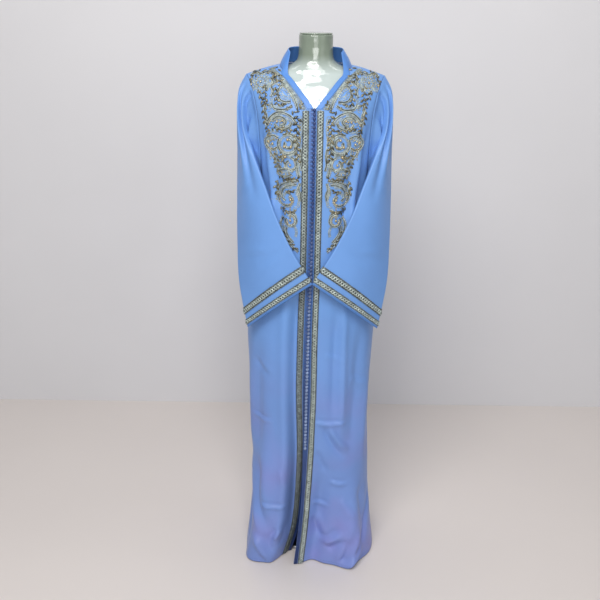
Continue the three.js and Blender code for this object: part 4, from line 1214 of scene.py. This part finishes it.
def curve(points, step=2.2, closed=False):
    """Smooth line through points, evenly stepped: a Catmull-Rom spline."""
    points = np.array(points, float)
    ends = (points[-1:], points[:1], points[1:2]) if closed else (
        2 * points[:1] - points[1:2], 2 * points[-1:] - points[-2:-1], np.zeros((0, 2)))
    p = np.concatenate([ends[0], points, ends[1], ends[2]])
    t = np.linspace(0, 1, 24, endpoint=False)[None, :, None]
    fine = spline(*(p[k:len(p) - 3 + k, None] for k in range(4)), t)
    fine = np.concatenate([fine.reshape(-1, 2), (points[:1] if closed else points[-1:])])
    run = run_along(fine)
    want = np.linspace(0, run[-1], max(3, int(run[-1] / step)))
    return np.stack([np.interp(want, run, fine[:, k]) for k in (0, 1)], 1)


def beside(line, offset):
    """The line moved to its left by an offset."""
    ahead = unit(np.gradient(line, axis=0))
    return line + np.stack([-ahead[:, 1], ahead[:, 0]], 1) * np.asarray(offset)[..., None]


def looped(line, radius, pitch):
    """A line that circles about another as it goes along it, as a row of loops."""
    run = run_along(line)
    want = np.linspace(0, run[-1], max(6, int(run[-1] / pitch * 11)))
    turn = 2 * math.pi * want / pitch
    base = np.stack([np.interp(want, run, line[:, k]) for k in (0, 1)], 1)
    return base + radius * np.stack([np.cos(turn), np.sin(turn)], 1)


def circle(x, z, radius, start=0.0, sweep=360.0, shrink=1.0):
    """Part of a circle, or of a spiral that shrinks to a share of its radius."""
    angle = np.radians(start + np.linspace(0, sweep, max(8, int(radius * abs(sweep) / 60 / 2.2))))
    size = radius * np.linspace(1, shrink, len(angle))
    return np.stack([x + size * np.cos(angle), z + size * np.sin(angle)], 1)


SCROLLS = [
    curve([(177, 1500), (163, 1511), (147, 1507), (130, 1513), (113, 1511)]),
    curve([(93, 1490), (84, 1486), (74, 1479), (65, 1464)]),
    curve([(97, 1472), (88, 1482), (74, 1477), (62, 1461), (52, 1444), (45, 1427)]),
    curve([(97, 1472), (99, 1458), (92, 1446), (78, 1441), (64, 1443)]),
    curve([(131, 1434), (135, 1420), (129, 1405), (131, 1388), (127, 1376)]),
    curve([(131, 1384), (118, 1402), (103, 1413), (88, 1415), (72, 1410), (58, 1401), (50, 1390)]),
    curve([(112, 1394), (100, 1403), (86, 1402), (76, 1392), (82, 1382), (94, 1381)]),
    circle(71, 1332, 27, 60, 330),
    circle(71, 1332, 16, 100, 300, 0.5),
    curve([(97, 1347), (112, 1353), (127, 1346), (132, 1331), (123, 1318), (109, 1316), (99, 1323)]),
    circle(64, 1277, 20, 100, 330, 0.55),
    curve([(56, 1258), (70, 1265), (87, 1263), (98, 1254), (88, 1246), (72, 1246), (60, 1252)]),
    curve([(42, 1234), (60, 1232), (80, 1225), (94, 1212), (99, 1195), (95, 1177), (84, 1166),
           (70, 1163), (59, 1171), (59, 1184), (68, 1189)]),
    curve([(46, 1224), (64, 1221), (79, 1213), (86, 1199), (84, 1185), (76, 1178)]),
    circle(63, 1121, 20, 75, 320, 0.6),
    curve([(80, 1131), (90, 1112), (88, 1092), (76, 1070), (58, 1050), (40, 1034)]),
    curve([(72, 1103), (74, 1090), (66, 1074), (54, 1060)]),
    curve([(42, 1300), (50, 1290), (46, 1278), (44, 1262), (40, 1246)]),
    curve([(120, 1500), (112, 1488), (118, 1478), (112, 1466), (118, 1452)]),
    curve([(116, 1436), (108, 1424), (92, 1421), (74, 1424), (60, 1434)]),
    curve([(60, 1388), (68, 1376), (84, 1370), (100, 1374), (108, 1384)]),
    curve([(36, 1320), (33, 1300), (35, 1280), (31, 1262)]),
    curve([(36, 1228), (40, 1212), (35, 1196), (37, 1180)]),
    curve([(122, 1316), (114, 1300), (104, 1290), (104, 1276)]),
    curve([(88, 1316), (80, 1306), (82, 1296), (90, 1290)]),
]
FILLING = [
    (circle(147, 1487, 17, 0, 360), 4.4, 7.0),
    (circle(147, 1487, 8, 0, 360), 3.4, 6.0),
    (circle(171, 1478, 10, 0, 360), 4.0, 6.5),
    (curve([(90, 1474), (80, 1474), (70, 1463), (60, 1448)]), 4.6, 6.4),
    (curve([(92, 1464), (84, 1454), (72, 1450)]), 4.6, 6.4),
    (curve([(125, 1386), (114, 1396), (102, 1405), (88, 1407)]), 3.4, 5.6),
    (curve([(104, 1390), (95, 1395), (86, 1391)]), 3.6, 5.6),
    (circle(71, 1332, 21.5, 0, 360), 3.2, 6.2),
    (curve([(104, 1340), (114, 1345), (123, 1338), (122, 1327), (112, 1324)]), 3.6, 6.0),
    (circle(63, 1277, 15, 120, 250), 3.0, 5.6),
    (curve([(66, 1255), (78, 1257), (90, 1254)]), 3.0, 5.4),
    (curve([(54, 1227), (72, 1221), (86, 1210), (92, 1194)]), 2.8, 5.4),
    (circle(63, 1121, 14, 60, 260), 3.0, 5.4),
    (curve([(82, 1108), (80, 1090), (70, 1072), (56, 1056)]), 3.0, 5.6),
    (curve([(82, 1488), (72, 1478), (60, 1460), (50, 1442)]), 3.6, 6.0),
    (curve([(140, 1470), (128, 1476), (118, 1486), (110, 1480)]), 3.4, 6.0),
    (curve([(112, 1428), (98, 1428), (84, 1432)]), 3.2, 5.8),
    (curve([(66, 1382), (76, 1378), (90, 1378)]), 3.2, 5.8),
    (curve([(52, 1318), (56, 1306), (66, 1302)]), 3.0, 5.6),
    (curve([(40, 1220), (46, 1206), (44, 1190)]), 2.8, 5.4),
    (curve([(104, 1316), (100, 1306), (110, 1294)]), 2.8, 5.4),
    (curve([(38, 1404), (36, 1372), (39, 1340), (35, 1306)]), 4.4, 6.6),
    (curve([(40, 1294), (44, 1270), (38, 1246)]), 4.2, 6.4),
    (curve([(38, 1224), (42, 1204), (38, 1184), (42, 1162)]), 3.8, 6.2),
    (curve([(112, 1454), (118, 1440), (122, 1418)]), 4.2, 6.4),
    (curve([(56, 1302), (68, 1298), (80, 1306)]), 3.8, 6.2),
    (curve([(92, 1302), (98, 1288), (90, 1276)]), 3.8, 6.2),
    (curve([(80, 1222), (70, 1214), (56, 1218)]), 3.6, 6.2),
    (curve([(48, 1160), (54, 1148), (48, 1134)]), 3.4, 6.0),
    (curve([(98, 1362), (110, 1366), (122, 1362)]), 4.2, 6.4),
    (curve([(56, 1358), (49, 1344), (50, 1326)]), 4.0, 6.4),
    (curve([(124, 1496), (132, 1502), (126, 1482), (130, 1468)]), 4.2, 6.4),
    (curve([(160, 1470), (150, 1462), (142, 1452)]), 4.0, 6.2),
    (curve([(106, 1498), (104, 1484), (100, 1500)]), 3.8, 6.2),
    (curve([(78, 1400), (66, 1394), (58, 1384)]), 3.6, 6.0),
    (curve([(122, 1346), (130, 1334), (126, 1318)]), 3.6, 6.0),
    (curve([(84, 1262), (94, 1268), (102, 1264)]), 3.6, 6.0),
    (curve([(66, 1200), (76, 1200), (82, 1188)]), 3.4, 6.0),
    (curve([(52, 1108), (46, 1092), (48, 1076)]), 3.2, 6.0),
]
LEAF_ROWS = [
    # line, spacing, half length, angle to the line, lift of tone
    (curve([(102, 1524), (101, 1506), (95, 1490)]), 8.2, 7.0, 78),
    (curve([(114, 1516), (110, 1498)]), 9.0, 6.0, 40),
    (curve([(174, 1505), (152, 1512), (130, 1512)]), 10.0, 5.4, 30),
    (curve([(133, 1480), (134, 1460), (131, 1436)]), 8.4, 6.4, 42),
    (curve([(105, 1476), (104, 1458), (100, 1438)]), 8.4, 6.4, 48),
    (curve([(45, 1406), (47, 1350), (44, 1298)]), 13.0, 7.4, 50),
    (curve([(99, 1304), (101, 1284), (95, 1262)]), 7.6, 6.6, 66),
    (curve([(76, 1240), (60, 1236), (46, 1240)]), 9.5, 6.0, 36),
    (curve([(97, 1229), (103, 1214), (101, 1198)]), 8.0, 6.4, 34),
    (curve([(76, 1206), (66, 1202), (60, 1206)]), 9.0, 5.6, 34),
    (curve([(86, 1092), (72, 1068), (52, 1046)]), 9.6, 6.2, 40),
    (curve([(72, 1150), (62, 1146), (54, 1150)]), 9.0, 5.4, 30),
    (curve([(127, 1374), (124, 1356)]), 9.0, 5.4, 40),
    (curve([(58, 1368), (70, 1364), (84, 1366)]), 9.5, 5.6, 36),
    (curve([(135, 1432), (137, 1410), (132, 1390)]), 9.0, 6.2, 40),
    (curve([(90, 1437), (72, 1429), (57, 1418)]), 9.4, 5.8, 38),
    (curve([(114, 1374), (100, 1370), (88, 1374)]), 9.2, 5.8, 36),
    (curve([(153, 1468), (148, 1452), (140, 1440)]), 8.6, 6.0, 40),
    (curve([(92, 1246), (84, 1238), (72, 1236)]), 8.8, 5.8, 34),
    (curve([(88, 1158), (80, 1150), (74, 1142)]), 8.4, 5.6, 34),
    (curve([(84, 1312), (86, 1298), (82, 1286)]), 9.0, 5.8, 38),
    (curve([(158, 1508), (168, 1500), (176, 1490)]), 8.4, 5.8, 34),
    (curve([(48, 1416), (40, 1424), (36, 1434)]), 8.6, 5.4, 36),
]
BEAD_LINES = [
    # line, spacing, radius
    (curve([(94, 1493), (107, 1487), (121, 1477)]), 4.4, 2.1),
    (circle(147, 1487, 12.5, 0, 345), 5.2, 1.9),
    (circle(171, 1478, 6.0, 0, 330), 4.8, 1.8),
    (curve([(112, 1390), (117, 1379), (121, 1367)]), 5.0, 2.3),
    (curve([(118, 1391), (123, 1381)]), 5.0, 2.2),
    (curve([(100, 1392), (92, 1390), (84, 1394)]), 6.4, 2.6),
    (curve([(38, 1388), (37, 1372)]), 6.0, 2.5),
    (curve([(37, 1352), (38, 1338)]), 6.0, 2.6),
    (curve([(102, 1346), (114, 1340), (126, 1328), (120, 1319), (106, 1320)]), 6.4, 2.5),
    (curve([(107, 1320), (108, 1298)]), 4.6, 2.2),
    (curve([(118, 1316), (119, 1290)]), 4.6, 2.1),
    (curve([(66, 1255), (78, 1251), (95, 1256)]), 6.2, 2.5),
    (curve([(92, 1198), (92, 1172)]), 4.8, 2.2),
    (curve([(63, 1168), (63, 1130)]), 5.2, 2.4),
    (curve([(60, 1192), (55, 1184), (56, 1174), (66, 1168), (78, 1168)]), 5.2, 2.2),
    (curve([(54, 1134), (52, 1120), (60, 1110), (72, 1112)]), 5.4, 2.2),
]
PEARLS = np.array([
    # from the middle, height, radius
    (71, 1344, 4.2), (62, 1325, 4.2), (80, 1325, 4.2), (77, 1298, 4.6), (100, 1390, 3.4), (86, 1393, 3.2),
    (62, 1181, 4.0), (58, 1175, 3.2), (63, 1123, 3.8), (70, 1117, 3.2), (172, 1479, 3.4), (147, 1487, 3.6),
    (112, 1331, 3.6), (124, 1336, 3.2), (64, 1277, 3.6), (97, 1482, 3.0),
])


def bead_material(name, color, other, roughness, metallic):
    """Glazed beads that vary between two colours by the tone of each bead."""
    material, tree, shader = new_material(
        name, roughness, metallic, Coat_Weight=0.6, Coat_Roughness=0.12)
    tone = add_node(tree, "ShaderNodeAttribute", attribute_name="tone").outputs["Fac"]
    shade = blend_colors(tree, tone, color, other)
    place = add_node(tree, "ShaderNodeTexCoord").outputs["Object"]
    cloudy = remap(tree, noise(tree, place, 420, 2), 0.3, 0.7, 0.8, 1.12)
    tree.links.new(blend_colors(tree, 1.0, shade, cloudy, "MULTIPLY"), shader.inputs["Base Color"])
    return material


leaf_glaze = bead_material(
    "dark leaf beads", (0.05, 0.05, 0.03, 1), (0.27, 0.25, 0.16, 1), 0.3, 0.5)
pearl_glaze = bead_material(
    "gold and cream beads", (0.44, 0.35, 0.19, 1), (0.58, 0.61, 0.53, 1), 0.26, 0.45)
DOUBLING = 2.1
V_BRAID_AT, V_BRAID_SWING, V_BRAID_EDGE, V_BRAID_PERIOD, V_BRAID_TOP = COLLAR_BAND + 10, 4.8, 6.9, 13.5, 17.6
bead_rng = np.random.default_rng(5)
for hand, side in (("right", 1), ("left", -1)):
    cords, fine, leaves, beads = [], [], [], []
    for line in SCROLLS:
        # The thin middle cord sits low between the doubled cords in the near-black colour: painted shade in
        # the groove between them.
        for offset, radius, tone in ((DOUBLING, 1.3, 0.0), (0, 0.9, 1.0), (-DOUBLING, 1.3, 0.2)):
            path, normals = on_breast(side, beside(line, offset), CLOTH_HALF + radius * 0.9)
            cords.append(tube(path, normals, radius, tone=tone))
        seeds = beside(line, 4.6)[::2]
        places, normals = on_breast(side, seeds, CLOTH_HALF + 1.1)
        beads.append(copies(BALL, places, np.gradient(places, axis=0), normals, (1.45, 1.35, 1.3), 0.55))
    for line, radius, pitch in FILLING:
        path, normals = on_breast(side, looped(line, radius, pitch), CLOTH_HALF + 0.7)
        fine.append(tube(path, normals, 0.9, tone=0.05))
    for line, spacing, half, angle in LEAF_ROWS:
        line = curve(line[::3], spacing) if len(line) > 6 else line
        ahead = unit(np.gradient(line, axis=0))
        for hand_sign in (1, -1):
            turn = np.radians(angle + bead_rng.uniform(-16, 16, len(line))) * hand_sign
            way = np.stack([
                ahead[:, 0] * np.cos(turn) - ahead[:, 1] * np.sin(turn),
                ahead[:, 0] * np.sin(turn) + ahead[:, 1] * np.cos(turn)], 1)
            middle = line + way * half * 0.85 + ahead * spacing * 0.5 * (hand_sign < 0)
            places, normals = on_breast(side, middle, CLOTH_HALF + 1.5)
            tips, _ = on_breast(side, middle + way * 2, CLOTH_HALF + 1.5)
            size = half * bead_rng.uniform(0.86, 1.1, len(line))
            sizes = np.stack([size * 1.1, size * 0.55, size * 0.34], 1)
            tones = bead_rng.uniform(0, 1, len(line))
            leaves.append(copies(LEAF, places, tips - places, normals, sizes, tones))
    for line, spacing, radius in BEAD_LINES:
        line = curve(line[::2], spacing)
        places, normals = on_breast(side, line, CLOTH_HALF + radius * 0.85)
        beads.append(copies(
            BALL, places, np.gradient(places, axis=0), normals, (radius, radius, radius * 0.9),
            bead_rng.uniform(0, 0.5, len(line))))
    places, normals = on_breast(side, PEARLS[:, :2], CLOTH_HALF + PEARLS[:, 2] * 0.8)
    beads.append(copies(
        KNOT, places, np.tile([0.0, 0, 1], (len(places), 1)), normals, PEARLS[:, 2:] * (1, 1, 0.9),
        bead_rng.uniform(0, 0.3, len(places))))
    rows = np.linspace(VEE + 0.05, V_BRAID_TOP, 70)
    middle = cloth_at(side, rows, V_BRAID_AT + 0 * rows)
    run = run_along(middle)
    along = np.linspace(0, run[-1], int(run[-1] / 1.9))
    turn = 2 * math.pi * along / V_BRAID_PERIOD
    rows = np.interp(along, run, rows)
    for sign in (1, -1):
        across = V_BRAID_AT + sign * V_BRAID_SWING * np.sin(turn)
        lift = CLOTH_HALF + 1.3 + sign * 0.5 * np.cos(turn)
        path, normals = on_front(side, rows, across, lift)
        fine.append(tube(path, normals, 1.05, tone=0.1))
        across = V_BRAID_AT + sign * V_BRAID_EDGE + 0 * turn
        path, normals = on_front(side, rows, across, CLOTH_HALF + 0.9 + 0 * turn)
        fine.append(tube(path, normals, 0.8, tone=0.35))
    eyes = rows[2::4]
    places, normals = on_front(side, eyes, V_BRAID_AT + 0 * eyes, CLOTH_HALF + 1.0 + 0 * eyes)
    beads.append(copies(BALL, places, np.gradient(places, axis=0), normals, (1.6, 1.5, 1.3), 0.6))
    put_down(f"scroll_cords_{hand}", cords, silver_thread)
    put_down(f"filling_cords_{hand}", fine, silver_thread)
    put_down(f"leaf_beads_{hand}", leaves, leaf_glaze)
    put_down(f"seed_beads_and_pearls_{hand}", beads, pearl_glaze)

# ---------------------------------------------------------------- stitches
# The hems of the skirt and of the sleeves are turned up and held by a row of short stitches in
# blue sewing thread.
STITCH_PITCH, STITCH_SIZE, HEM_DEEP = 4.8, (1.5, 0.36, 0.3), 18.0
sewing_thread = thread("sewing thread", (0.12, 0.25, 0.56, 1), (0.08, 0.18, 0.45, 1), 0.55, 0.0)
parts = []
for side in (1, -1):
    for row in (rows_at(HEM_DEEP, HEM, ARMPIT), HEM_BACK - rows_at(HEM_DEEP, HEM, ARMPIT)):
        along = np.arange(4, section_length(side, row)[0] - 4, STITCH_PITCH)
        places, normals = on_front(side, row + 0 * along, along, CLOTH_HALF + 0.15 + 0 * along)
        parts.append(copies(BALL, places, np.gradient(places, axis=0), normals, STITCH_SIZE, 0.3))
    along = np.arange(0, 1, 0.009)
    places, normals = on_cuff(side, 8.6, along, CLOTH_HALF + 0.15 + 0 * along)
    parts.append(copies(BALL, places, np.gradient(places, axis=0), normals, STITCH_SIZE, 0.3))
put_down("hem_stitches", parts, sewing_thread)
